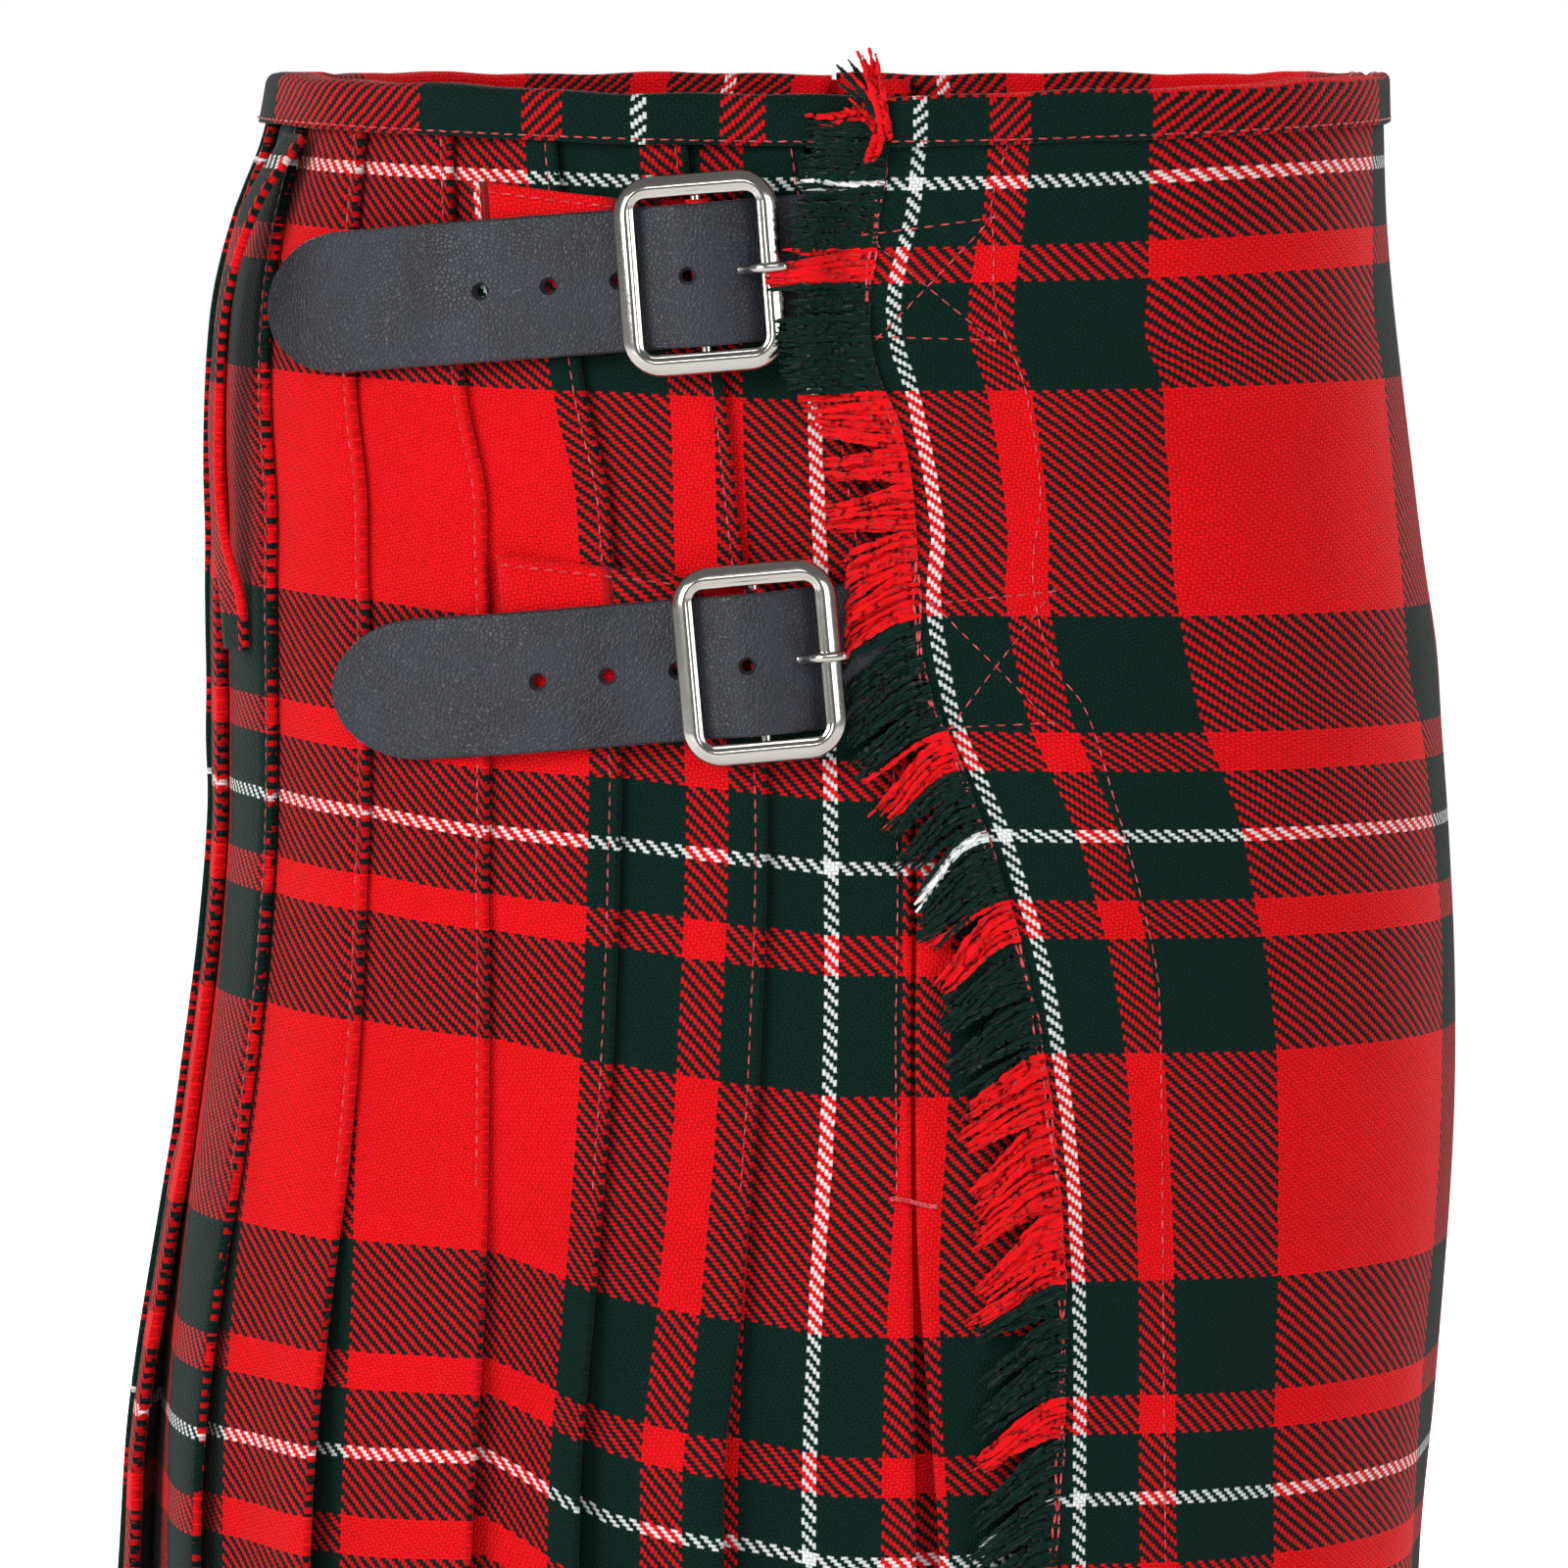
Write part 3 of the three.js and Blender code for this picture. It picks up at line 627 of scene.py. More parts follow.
@dataclass(frozen=True)
class TartanWool:
    """Napped worsted twill: soft and matt, with a light fuzz at grazing angles."""

    sett: Sett = Sett()
    name: str = "napped worsted tartan twill"

    def build(self) -> bpy.types.Material:
        """Builds the material; it reads the map "Weave"."""
        material, g, shader, local = new_material(
            self.name,
            Roughness=0.92,
            Sheen_Weight=0.1,
            Sheen_Roughness=0.4,
            Sheen_Tint=(1.0, 0.8, 0.78, 1.0),
            Specular_IOR_Level=0.08,
        )
        weave = g.add("ShaderNodeUVMap", uv_map="Weave")
        thread = g.add("ShaderNodeSeparateXYZ", weave)
        rise = g.add(MATH, thread.node.outputs[1], self.sett.line, operation="SUBTRACT")
        row = g.add(MATH, rise, self.sett.weft, operation="DIVIDE")
        # Yarns wander a little, so the edges of the bands aren't ruled lines.
        wander = g.add(NOISE, {"Vector": local, "Scale": 260.0})
        wander = g.add(MATH, wander, 0.9, -0.45, operation="MULTIPLY_ADD")
        drift = g.add(NOISE, {"Vector": weave, "Scale": 0.31})
        drift = g.add(MATH, drift, 0.8, -0.4, operation="MULTIPLY_ADD")
        u = g.add(MATH, thread, wander, operation="ADD")
        v = g.add(MATH, row, drift, operation="ADD")
        a, b = (g.add(MATH, each, operation="FLOOR") for each in (u, v))
        group = self.sett.group()
        warp = g.add("ShaderNodeGroup", {"Thread": u}, node_tree=group)
        weft = g.add("ShaderNodeGroup", {"Thread": v}, node_tree=group)
        turn = g.add(MATH, g.add(MATH, a, b, operation="ADD"), 4.0, operation="FLOORED_MODULO")
        top = g.add(MATH, turn, 1.5, operation="LESS_THAN")
        over = g.add(MIX, {0: top, 6: weft, 7: warp}, data_type="RGBA", out=2)
        below = g.add(MIX, {0: top, 6: warp, 7: weft}, data_type="RGBA", out=2)
        # The yarn below darkens the one on top a little where the two differ.
        darken = {"data_type": "RGBA", "blend_type": "DARKEN", "out": 2}
        colour = g.add(MIX, {0: 0.24, 6: over, 7: below}, **darken)
        # Each float is a small rounded grain, two threads long.
        warp_grain = self.grain(g, (u, a), (a, v), 0.0)
        weft_grain = self.grain(g, (v, b), (u, b), -1.0)
        grain = g.add(MIX, {0: top, 2: weft_grain, 3: warp_grain})
        # Shade sits in the gaps between yarns, and the nap softens it.
        nap = g.add(NOISE, {"Vector": local, "Scale": 1500.0, "Detail": 3.0})
        shade = g.add(MATH, nap, 0.7, 0.24, operation="MULTIPLY_ADD")
        shade = g.add(MATH, grain, 0.55, shade, operation="MULTIPLY_ADD")
        # Slow patches where the nap lies another way.
        patch = g.add(NOISE, {"Vector": local, "Scale": 35.0})
        patch = g.add(MATH, patch, 0.24, 0.88, operation="MULTIPLY_ADD")
        colour = g.add(MIX, {0: 1.0, 6: colour, 7: shade}, **MULTIPLY)
        colour = g.add(MIX, {0: 1.0, 6: colour, 7: patch}, **MULTIPLY)
        height = g.add(MATH, nap, 0.5, operation="MULTIPLY")
        height = g.add(MATH, grain, 0.7, height, operation="MULTIPLY_ADD")
        bump = g.add(BUMP, {"Strength": 0.75, "Distance": 0.00035, "Height": height})
        g.link(shader, Base_Color=colour, Normal=bump)
        return material

    @staticmethod
    def grain(g: Graph, across: tuple, along: tuple, shift: float) -> bpy.types.NodeSocket:
        """Height of the floats of one set of yarns, from 0 to 1.

        Args:
            g: the graph.
            across: coordinate across the yarn, and the yarn's number.
            along: the two coordinates whose sum counts along the float.
            shift: where the float starts.

        Returns:
            The socket.
        """
        side = g.add(MATH, *across, operation="SUBTRACT")
        run = g.add(MATH, g.add(MATH, *along, operation="ADD"), 4.0, operation="FLOORED_MODULO")
        run = g.add(MATH, run, 0.5, shift, operation="MULTIPLY_ADD")
        humps = []
        for each in (side, run):
            centred = g.add(MATH, each, 2.0, -1.0, operation="MULTIPLY_ADD")
            square = g.add(MATH, centred, centred, operation="MULTIPLY")
            humps.append(g.add(MATH, 1.0, square, operation="SUBTRACT"))
        return g.add(MATH, *humps, operation="MULTIPLY")


@dataclass(frozen=True)
class FringeYarn:
    """Loose two-ply weft yarn: soft, with fibres that catch light along its twist."""

    sett: Sett = Sett()
    name: str = "loose two-ply weft yarn"

    def build(self) -> bpy.types.Material:
        """Builds the material; it reads the attribute "weft"."""
        material, g, shader, local = new_material(
            self.name, Roughness=0.9, Sheen_Weight=0.1, Sheen_Roughness=0.4, Specular_IOR_Level=0.1
        )
        level = g.add("ShaderNodeAttribute", attribute_name="weft", out="Fac")
        rise = g.add(MATH, level, self.sett.line, operation="SUBTRACT")
        row = g.add(MATH, rise, self.sett.weft, operation="DIVIDE")
        colour = g.add("ShaderNodeGroup", {"Thread": row}, node_tree=self.sett.group())
        fibre = g.add(NOISE, {"Vector": local, "Scale": 2600.0, "Detail": 3.0})
        shade = g.add(MATH, fibre, 0.7, 0.62, operation="MULTIPLY_ADD")
        bump = g.add(BUMP, {"Strength": 0.5, "Distance": 0.0002, "Height": fibre})
        colour = g.add(MIX, {0: 1.0, 6: colour, 7: shade}, **MULTIPLY)
        g.link(shader, Base_Color=colour, Normal=bump)
        return material


@dataclass(frozen=True)
class SewingThread:
    """Spun sewing thread: red, a little glossier than the wool."""

    name: str = "red spun sewing thread"
    colour: str = "#B51822"
    light: str = "#DB5660"

    def build(self) -> bpy.types.Material:
        """Builds the material."""
        material, g, shader, local = new_material(self.name, Roughness=0.55, Sheen_Weight=0.15)
        blotch = g.add(NOISE, {"Vector": local, "Scale": 420.0})
        stops = [(0.42, linear(self.colour)), (0.66, linear(self.light))]
        g.link(shader, Base_Color=g.add(RAMP, blotch, stops=stops))
        return material


@dataclass(frozen=True)
class StrapLeather:
    """Black grained cowhide: a blue-grey sheen, fine grain and faint bend lines."""

    name: str = "black grained strap leather"
    dark: str = "#10131C"
    worn: str = "#1F2431"

    def build(self) -> bpy.types.Material:
        """Builds the material."""
        material, g, shader, local = new_material(
            self.name, Specular_IOR_Level=0.5, Sheen_Weight=0.08
        )
        feeds = {"Vector": local, "Scale": 950.0}
        cells = g.add("ShaderNodeTexVoronoi", feeds, feature="DISTANCE_TO_EDGE")
        cells = g.add(MATH, cells, 5.0, operation="MULTIPLY")
        grain = g.add(MATH, cells, 1.0, operation="MINIMUM")
        cloud = g.add(NOISE, {"Vector": local, "Scale": 60.0, "Detail": 4.0})
        stops = [(0.35, linear(self.dark)), (0.68, linear(self.worn))]
        colour = g.add(RAMP, cloud, stops=stops)
        fine = g.add(NOISE, {"Vector": local, "Scale": 2400.0})
        height = g.add(MATH, fine, 0.35, grain, operation="MULTIPLY_ADD")
        height = g.add(MATH, cloud, 1.5, height, operation="MULTIPLY_ADD")
        bump = g.add(BUMP, {"Strength": 0.5, "Distance": 0.00022, "Height": height})
        rough = g.add(MATH, cloud, 0.2, 0.36, operation="MULTIPLY_ADD")
        g.link(shader, Base_Color=colour, Normal=bump, Roughness=rough)
        return material


@dataclass(frozen=True)
class RawEdge:
    """Cut edge of the strap: matt grey fibres under a thin dye."""

    name: str = "raw cut leather edge"
    dark: str = "#26252A"
    pale: str = "#8C857F"

    def build(self) -> bpy.types.Material:
        """Builds the material."""
        material, g, shader, local = new_material(self.name, Roughness=0.95)
        fibre = g.add(NOISE, {"Vector": local, "Scale": 900.0, "Detail": 4.0})
        stops = [(0.4, linear(self.dark)), (0.62, linear(self.pale))]
        bump = g.add(BUMP, {"Strength": 0.8, "Distance": 0.0003, "Height": fibre})
        g.link(shader, Base_Color=g.add(RAMP, fibre, stops=stops), Normal=bump)
        return material


@dataclass(frozen=True)
class PolishedNickel:
    """Nickel plate over a casting: bright, slightly warm, softly uneven."""

    name: str = "polished nickel plate"
    colour: str = "#C9C6BF"

    def build(self) -> bpy.types.Material:
        """Builds the material."""
        material, g, shader, local = new_material(
            self.name, Base_Color=linear(self.colour), Metallic=1.0
        )
        cloud = g.add(NOISE, {"Vector": local, "Scale": 320.0, "Detail": 3.0})
        rough = g.add(MATH, cloud, 0.12, 0.1, operation="MULTIPLY_ADD")
        bump = g.add(BUMP, {"Strength": 0.25, "Distance": 0.0002, "Height": cloud})
        g.link(shader, Roughness=rough, Normal=bump)
        return material


@dataclass(frozen=True)
class StudioPaper:
    """White seamless paper: matt and plain."""

    name: str = "white studio paper"
    colour: str = "#FAFAFA"

    def build(self) -> bpy.types.Material:
        """Builds the material."""
        material, g, shader, _ = new_material(
            self.name,
            Base_Color=linear(self.colour),
            Roughness=1.0,
            Emission_Color=(1.0, 1.0, 1.0, 1.0),
        )
        seen = g.add("ShaderNodeLightPath", out="Is Camera Ray")
        g.link(shader, Emission_Strength=g.add(MATH, seen, 0.85, 0.15, operation="MULTIPLY_ADD"))
        return material


@dataclass
class Finishes:
    """All materials, built once."""

    tartan: bpy.types.Material = field(default_factory=lambda: TartanWool().build())
    yarn: bpy.types.Material = field(default_factory=lambda: FringeYarn().build())
    thread: bpy.types.Material = field(default_factory=lambda: SewingThread().build())
    leather: bpy.types.Material = field(default_factory=lambda: StrapLeather().build())
    raw: bpy.types.Material = field(default_factory=lambda: RawEdge().build())
    nickel: bpy.types.Material = field(default_factory=lambda: PolishedNickel().build())


# ---------------------------------------------------------------- cloth


def lay(
    form: Form, levels: Array, rows: Sequence[Sequence[Array]], creases: Sequence["Crease"] = ()
) -> tuple[Array, Array]:
    """Points and weave of a sheet from the stations of its rows.

    Args:
        form: the form that it lies on.
        levels: heights of the rows, from the top down.
        rows: places, depths, threads and wefts of each row's stations.
        creases: creases that are added to the depths.

    Returns:
        A grid of points and a grid of weave coordinates.
    """
    s, d, threads, wefts = (np.array(column) for column in zip(*rows))
    z = np.repeat(levels[:, None], s.shape[1], axis=1)
    if creases:
        d = d + sum(c.height(z, s) for c in creases)
    return form.points(z, s, d), np.stack([threads, wefts], -1)


@dataclass
class Crease:
    """One soft ridge or trough pressed into a sheet."""

    z: float
    s: float
    long: float
    wide: float
    rise: float
    lean: float = 0.0

    def height(self, z: Array, s: Array) -> Array:
        """Rise of the crease at each place."""
        turn = math.radians(self.lean)
        a = (z - self.z) * math.cos(turn) + (s - self.s) * math.sin(turn)
        b = -(z - self.z) * math.sin(turn) + (s - self.s) * math.cos(turn)
        return self.rise * np.exp(-((a / self.long) ** 2) - (b / self.wide) ** 2)


@dataclass
class Weave:
    """Where the threads of the tartan fall on the cloth."""

    form: Form
    pitch: float = 0.81
    white: Table = (
        (45, 3.5),
        (-35, 3.5),
        (-112, 0.2),
        (-178, 0.2),
        (-232, 3.3),
        (-276, 4.8),
        (-565, 4.8),
    )
    first: Table = ((45, -19), (-20, -17), (-112, -9.5), (-565, -9.5))
    pleats: Sequence[float] = (-59, -97, -100, -140)
    lift_at: Sequence[float] = (0, 50, 80, 110, 150)
    lift: Table = (
        (25, 0, 0, 0, 0, 0),
        (-130, -3, 2.5, 4.7, 8, 10.5),
        (-286, -4.5, 4.5, 19, 17, 17.5),
        (-565, -4, 3, 12, 11, 12),
    )
    apron_at: Sequence[float] = (-205, -120, -30)
    apron_lift: Table = (
        (25, -0.9, 0, 0),
        (-130, 0.5, 3, 5.1),
        (-286, 6.5, 8.5, 10.2),
        (-565, 7, 8, 9),
    )
    apron: Table = (
        (40, -20, -69.7, -121.5),
        (20, -18.2, -69.7, -121.5),
        (9, -15.6, -69.7, -121.5),
        (-2, -13.8, -69.3, -121.5),
        (-13, -14.5, -68.9, -122),
        (-24, -17.8, -72.7, -124),
        (-57, -23.7, -74.5, -127),
        (-73, -22.6, -76, -128.5),
        (-95, -26.2, -80.5, -130),
        (-104, -29, -82.5, -132.5),
        (-125, -38.2, -90.5, -136),
        (-141, -43.3, -93.3, -137.5),
        (-156, -47.3, -96, -139),
        (-173, -50.3, -98, -139.2),
        (-210, -54.3, -98.7, -139),
        (-250, -55.6, -98.3, -136.5),
        (-276, -55.2, -98, -135),
        (-565, -56, -100, -137),
    )

    def fold_thread(self, z: float, i: int) -> float:
        """Thread that lies on the outer fold of pleat i."""
        if i == 0:
            return (float(smooth(self.white, 1, z)) - self.form.fold(z, 0)) / self.pitch
        if i == 1:
            return float(smooth(self.first, 1, z))
        if i <= 5:
            return self.pleats[i - 2]
        return self.pleats[-1] - 40.0 * (i - 5)

    def rise(self, z: float, s: Array) -> Array:
        """How far the pleats' weft lies above its first level."""
        columns = [float(smooth(self.lift, 1 + c, z)) for c in range(len(self.lift_at))]
        return np.interp(s, self.lift_at, columns)

    def apron_rise(self, z: float, s: Array) -> Array:
        """How far the over apron's weft lies above its first level."""
        columns = [float(smooth(self.apron_lift, 1 + c, z)) for c in range(3)]
        return np.interp(s, self.apron_at, columns)

    def apron_threads(self, z: float, s: Array) -> Array:
        """Threads of the over apron at signed distances s from the side line."""
        places = [self.form.along(z, float(smooth(self.apron, c, z))) for c in (3, 2, 1)]
        threads = beyond(s, places, (140.0, 68.0, 0.0), -1 / self.pitch)
        # Down the front the threads hang straight, with the white line in the middle.
        middle = self.form.along(z, -400.0) + 2.0
        off = (middle + 68.0 * self.pitch - places[0]) / self.pitch
        return threads + off * ease(places[0] - np.asarray(s, float), 0, 50)


@dataclass
class Pleats:
    """Knife pleats in three runs, stitched down to the fell and loose below it."""

    form: Form
    weave: Weave
    wall: float = 1.2
    groove: float = 0.55
    groove_at: float = 2.6
    runs: Sequence[tuple[str, int, int]] = (
        ("pleats_right", 0, 4),
        ("pleats_back", 5, 9),
        ("pleats_left", 10, 14),
    )
    # How far each loose fold stands off, from the hem up to the fell.
    open_at: Sequence[float] = (-565, -420, -280, -240, -207)
    opening: Table = (
        (7, 5, 3.4, 1.6, 0),
        (8, 6.5, 4.2, 1.8, 0),
        (6, 5.5, 3.8, 1.4, 0),
        (9, 6, 3, 1.2, 0),
        (7, 7, 4.6, 2.2, 0),
        (8, 5, 3.2, 1.5, 0),
        (6, 6.5, 4.8, 1.9, 0),
        (8.5, 5.5, 2.8, 1.1, 0),
        (7, 7.5, 4.4, 2, 0),
        (9, 6, 3.5, 1.3, 0),
        (6.5, 5, 4.1, 1.8, 0),
        (8, 7, 3, 1.2, 0),
        (7.5, 5.5, 4.5, 2.1, 0),
        (6, 6.5, 3.6, 1.5, 0),
        (8, 5, 3.9, 1.7, 0),
    )
    creases: Sequence[Crease] = (
        Crease(-46, 60, 9, 40, -0.9, 0),
        Crease(-62, 72, 7, 46, 0.8, 8),
        Crease(-118, 40, 8, 36, -0.7, -6),
        Crease(-136, 66, 10, 44, 0.9, 10),
        Crease(-160, 30, 26, 11, 0.8, 12),
        Crease(-196, 92, 30, 9, -0.8, -8),
        Crease(30, 70, 6, 30, 0.4, 4),
        Crease(-250, 36, 46, 9, 1.7, 5),
        Crease(-262, 66, 52, 8, -1.6, -5),
        Crease(-330, 98, 70, 10, 1.8, 4),
        Crease(-420, 44, 90, 11, -2.0, -4),
        Crease(-480, 78, 80, 10, 2.2, 3),
        Crease(-240, 150, 60, 10, 1.8, -6),
        Crease(-350, 185, 80, 11, -1.8, 5),
        Crease(-455, 215, 90, 12, 2.0, -3),
        Crease(-270, 250, 60, 10, 1.6, 6),
        Crease(-400, 285, 90, 11, -1.9, -5),
        Crease(-300, 330, 70, 10, 1.7, 4),
        Crease(-480, 360, 80, 12, 1.9, -4),
        Crease(-255, 395, 50, 10, -1.5, 6),
        Crease(-60, 170, 12, 50, -0.8, 5),
        Crease(-110, 230, 10, 60, 0.7, -6),
        Crease(-70, 330, 9, 50, -0.8, 7),
        Crease(-150, 380, 12, 40, 0.8, -8),
    )

    def build(self, finishes: Finishes) -> list[bpy.types.Object]:
        """Builds and dresses the three runs."""
        made = []
        for name, first, last in self.runs:
            middle, uv = self.grid(first, last)
            piece = cloth_wall(name, middle, uv, self.wall)
            made.append(finish_piece(piece, [finishes.tartan], "tartan_wool", [name]))
        return made

    def stitched(self, z: float) -> float:
        """1 where the folds are sewn down, 0 below the fell."""
        return float(ease(z, self.form.fell - 6, self.form.fell + 4))

    def standing(self, z: float, i: int) -> float:
        """How far the fold of pleat i stands off at z."""
        return float(np.interp(z, self.open_at, self.opening[min(i, 14)]))

    def depth(self, z: float, i: int, s: Array) -> Array:
        """Depth of the visible layer of pleat i before any puff."""
        f = self.form
        start, following = f.fold(z, i), f.fold(z, i + 1)
        near = -2 * f.step * (s - start) / f.reveal(z, i)
        far = -2 * f.step * (1 + (s - following) / f.reveal(z, i + 1))
        return np.where(s <= following, near, far)

    def soften(self, z: float, i: int, s: Array) -> Array:
        """Stand-off, stitch groove and puff of pleat i at each place."""
        f = self.form
        reveal = f.reveal(z, i)
        x = s - f.fold(z, i)
        sewn = self.stitched(z)
        loose = self.standing(z, i) * (1 - ease(x, 0, 0.85 * reveal))
        groove = self.groove * sewn * np.exp(-(((x - self.groove_at) / 0.9) ** 2))
        swell = 0.35 + 0.25 * math.sin(1.7 * i + z / 37.0)
        low = 1.0 - sewn
        puff = (swell + 1.1 * low * math.sin(0.9 * i + z / 62.0)) * np.sin(
            math.pi * np.clip(x / reveal, 0, 1)
        )
        return loose - groove + puff

    def line(self, z: float, first: int, last: int) -> tuple[Array, Array, Array, Array]:
        """The cloth's course through its pleats at one height.

        Args:
            z: the height.
            first: first pleat.
            last: last pleat.

        Returns:
            Places, depths, threads and wefts of each station, in cloth order.
        """
        f = self.form
        radius = f.step / 2
        tuck = radius + self.wall / 2
        pitch = self.weave.pitch
        stations: list[tuple[float, float, float]] = []
        if first == 0:
            fold, inner = f.fold(z, 0), f.inner(z, 0)
            thread = self.weave.fold_thread(z, 0) + 60
            for part in np.linspace(0, 1, 6):
                place = fold - 20 + (20 + inner - fold) * part
                depth = -2 * f.step * (1 + max(0.0, (place - fold) / (inner - fold)) * f.hidden)
                stations.append((place, depth, thread - (place - fold) / pitch))
        for i in range(first, last + 1):
            fold, inner, reveal = f.fold(z, i), f.inner(z, i), f.reveal(z, i)
            following, behind = f.fold(z, i + 1), f.inner(z, i + 1)
            thread = self.weave.fold_thread(z, i)
            loose = self.standing(z, i)
            for part in (0.0, 0.25, 0.5, 0.75, 0.9, 1.0):
                place = inner + (fold + tuck - inner) * part
                x = place - fold
                off = loose * float(1 - ease(x, 0, 0.85 * reveal))
                stations.append((place, off - f.step * (1 + 2 * x / reveal), thread + x / pitch))
            for angle in (-60, -30, 0, 30, 60):
                a = math.radians(angle)
                place = fold + tuck - radius * math.cos(a)
                stations.append((place, -radius + radius * math.sin(a) + loose, thread))
            places = [tuck, 2.0, 2.6, 3.3, 4.6, 6.4]
            rest = np.linspace(8.5, reveal, 13)
            shown = fold + np.concatenate([places, rest])
            under = following + (behind - following) * np.array([0.25, 0.55, 0.85, 1.0])
            run = np.concatenate([shown, under])
            soft = self.soften(z, i, run)
            keep = 1 - ease(run, following - 5, following + 1)
            deep = self.depth(z, i, run) + soft * np.where(run < following + 1, keep, 0)
            stations += zip(run, deep, thread - (run - fold) / pitch)
        s, d, threads = np.array(stations).T
        return s, d, threads, z - self.weave.rise(z, s)

    def grid(self, first: int, last: int) -> tuple[Array, Array]:
        """Points and weave of one run, rows from the top down."""
        levels = self.form.levels(3.4, 9.0)
        rows = [self.line(z, first, last) for z in levels]
        return lay(self.form, levels, rows, self.creases)


@dataclass
class Aprons:
    """The over apron, which shows, and the under apron behind it."""

    form: Form
    weave: Weave
    wall: float = 1.2
    over: float = 4.2
    creases: Sequence[Crease] = (
        Crease(-34, -60, 8, 40, -1.0, -6),
        Crease(-52, -70, 9, 46, 0.9, 8),
        Crease(-92, -64, 8, 38, -1.0, 10),
        Crease(-112, -78, 10, 44, 1.0, -6),
        Crease(-104, -34, 20, 8, -0.9, 24),
        Crease(-140, -60, 30, 9, 0.9, 20),
        Crease(-176, -96, 44, 12, 1.0, 8),
        Crease(-232, -70, 60, 12, -1.3, -4),
        Crease(-250, -112, 60, 14, 1.2, 5),
        Crease(-330, -84, 90, 16, 2.2, 3),
        Crease(-430, -120, 90, 18, -2.4, -3),
        Crease(-500, -70, 70, 14, 2.2, 4),
        Crease(-300, -180, 90, 20, -1.8, 4),
        Crease(-420, -220, 100, 22, 2.4, -4),
        Crease(-260, -270, 90, 18, 1.5, 5),
        Crease(-470, -300, 90, 20, -2.2, -4),
        Crease(-90, -200, 14, 60, 0.8, 5),
        Crease(-150, -260, 16, 50, -0.8, -6),
    )

    def build(self, finishes: Finishes) -> list[bpy.types.Object]:
        """Builds and dresses both aprons."""
        made = []
        for name, row, fine, coarse, creases in (
            ("over_apron", self.over_row, 3.4, 9.0, self.creases),
            ("under_apron", self.under_row, 4.0, 12.0, ()),
        ):
            levels = self.form.levels(fine, coarse)
            grid = lay(self.form, levels, [row(z) for z in levels], creases)
            piece = cloth_wall(name, *grid, self.wall)
            made.append(finish_piece(piece, [finishes.tartan], "tartan_wool", [name]))
        return made

    def ripple(self, z: float, s: Array) -> Array:
        """Low waves along the fringed edge, where the heavy fringe pulls at it."""
        near = np.exp(-(s - self.form.edge_at(z)) ** 2 / 90.0)
        return near * (0.45 * math.sin(z / 6.5) + 0.4 * math.sin(z / 15.0 + 1.2))

    def over_row(self, z: float) -> tuple[Array, Array, Array, Array]:
        """Stations of the over apron at one height, from its left fold to the fringed edge."""
        f = self.form
        radius = f.step / 2
        total = f.ring(z).total
        fold, behind = f.fold(z, f.pleats) - total, f.inner(z, f.pleats) - total
        corner = fold + radius + self.wall / 2
        end = f.edge_at(z)
        turned = np.linspace(behind, corner, 6)
        angle = np.radians([-60, -30, 0, 30, 60])
        shown = np.concatenate([np.linspace(corner, end - 92, 56), np.linspace(end - 90, end, 46)])
        s = np.concatenate([turned, corner - radius * np.cos(angle), shown])
        depth = np.concatenate([
            np.full(6, self.over - f.step),
            self.over - radius + radius * np.sin(angle),
            self.over + self.ripple(z, shown),
        ])
        front = self.weave.apron_threads(z, shown)
        behind_threads = front[0] + (turned - corner) / self.weave.pitch
        threads = np.concatenate([behind_threads, np.full(5, front[0]), front])
        return s, depth, threads, z - self.weave.apron_rise(z, s)

    def under_row(self, z: float) -> tuple[Array, Array, Array, Array]:
        """Stations of the under apron at one height, from the left hip to its fold."""
        f = self.form
        radius = f.step / 2
        loose = float(ease(z, f.fell, -300))
        gape = 1.0 + 4.5 * float(ease(z, f.fell - 2, -300)) + 2.0 * float(ease(z, -300, f.hem))
        start = f.inner(z, f.pleats) + 1 - f.ring(z).total
        fold = f.fold(z, 0) - gape
        corner = fold - radius - self.wall / 2
        angle = np.radians([60, 30, 0, -30, -60])
        run = [*np.linspace(start, fold - 32, 60), *np.linspace(fold - 30, corner, 20)]
        run = np.array(run)
        back = np.linspace(corner, fold - 20, 6)
        lip = 0.9 * np.exp(-(((run - fold) / 5.0) ** 2)) * float(ease(z, -60, -110))
        lip *= 1 + 1.6 * loose
        tip = lip[-1]
        s = np.concatenate([run, corner + radius * np.cos(angle), back])
        depth = np.concatenate([
            lip,
            -radius + radius * np.sin(angle) + tip,
            -f.step + tip * np.exp(-(((back - fold) / 5.0) ** 2)),
        ])
        base, pitch = self.weave.fold_thread(z, 0), self.weave.pitch
        front, turned = base + (fold - run) / pitch, base - (fold - back) / pitch
        threads = np.concatenate([front, np.full(5, base), turned])
        return s, depth, threads, z - self.weave.rise(z, np.zeros(len(s)))


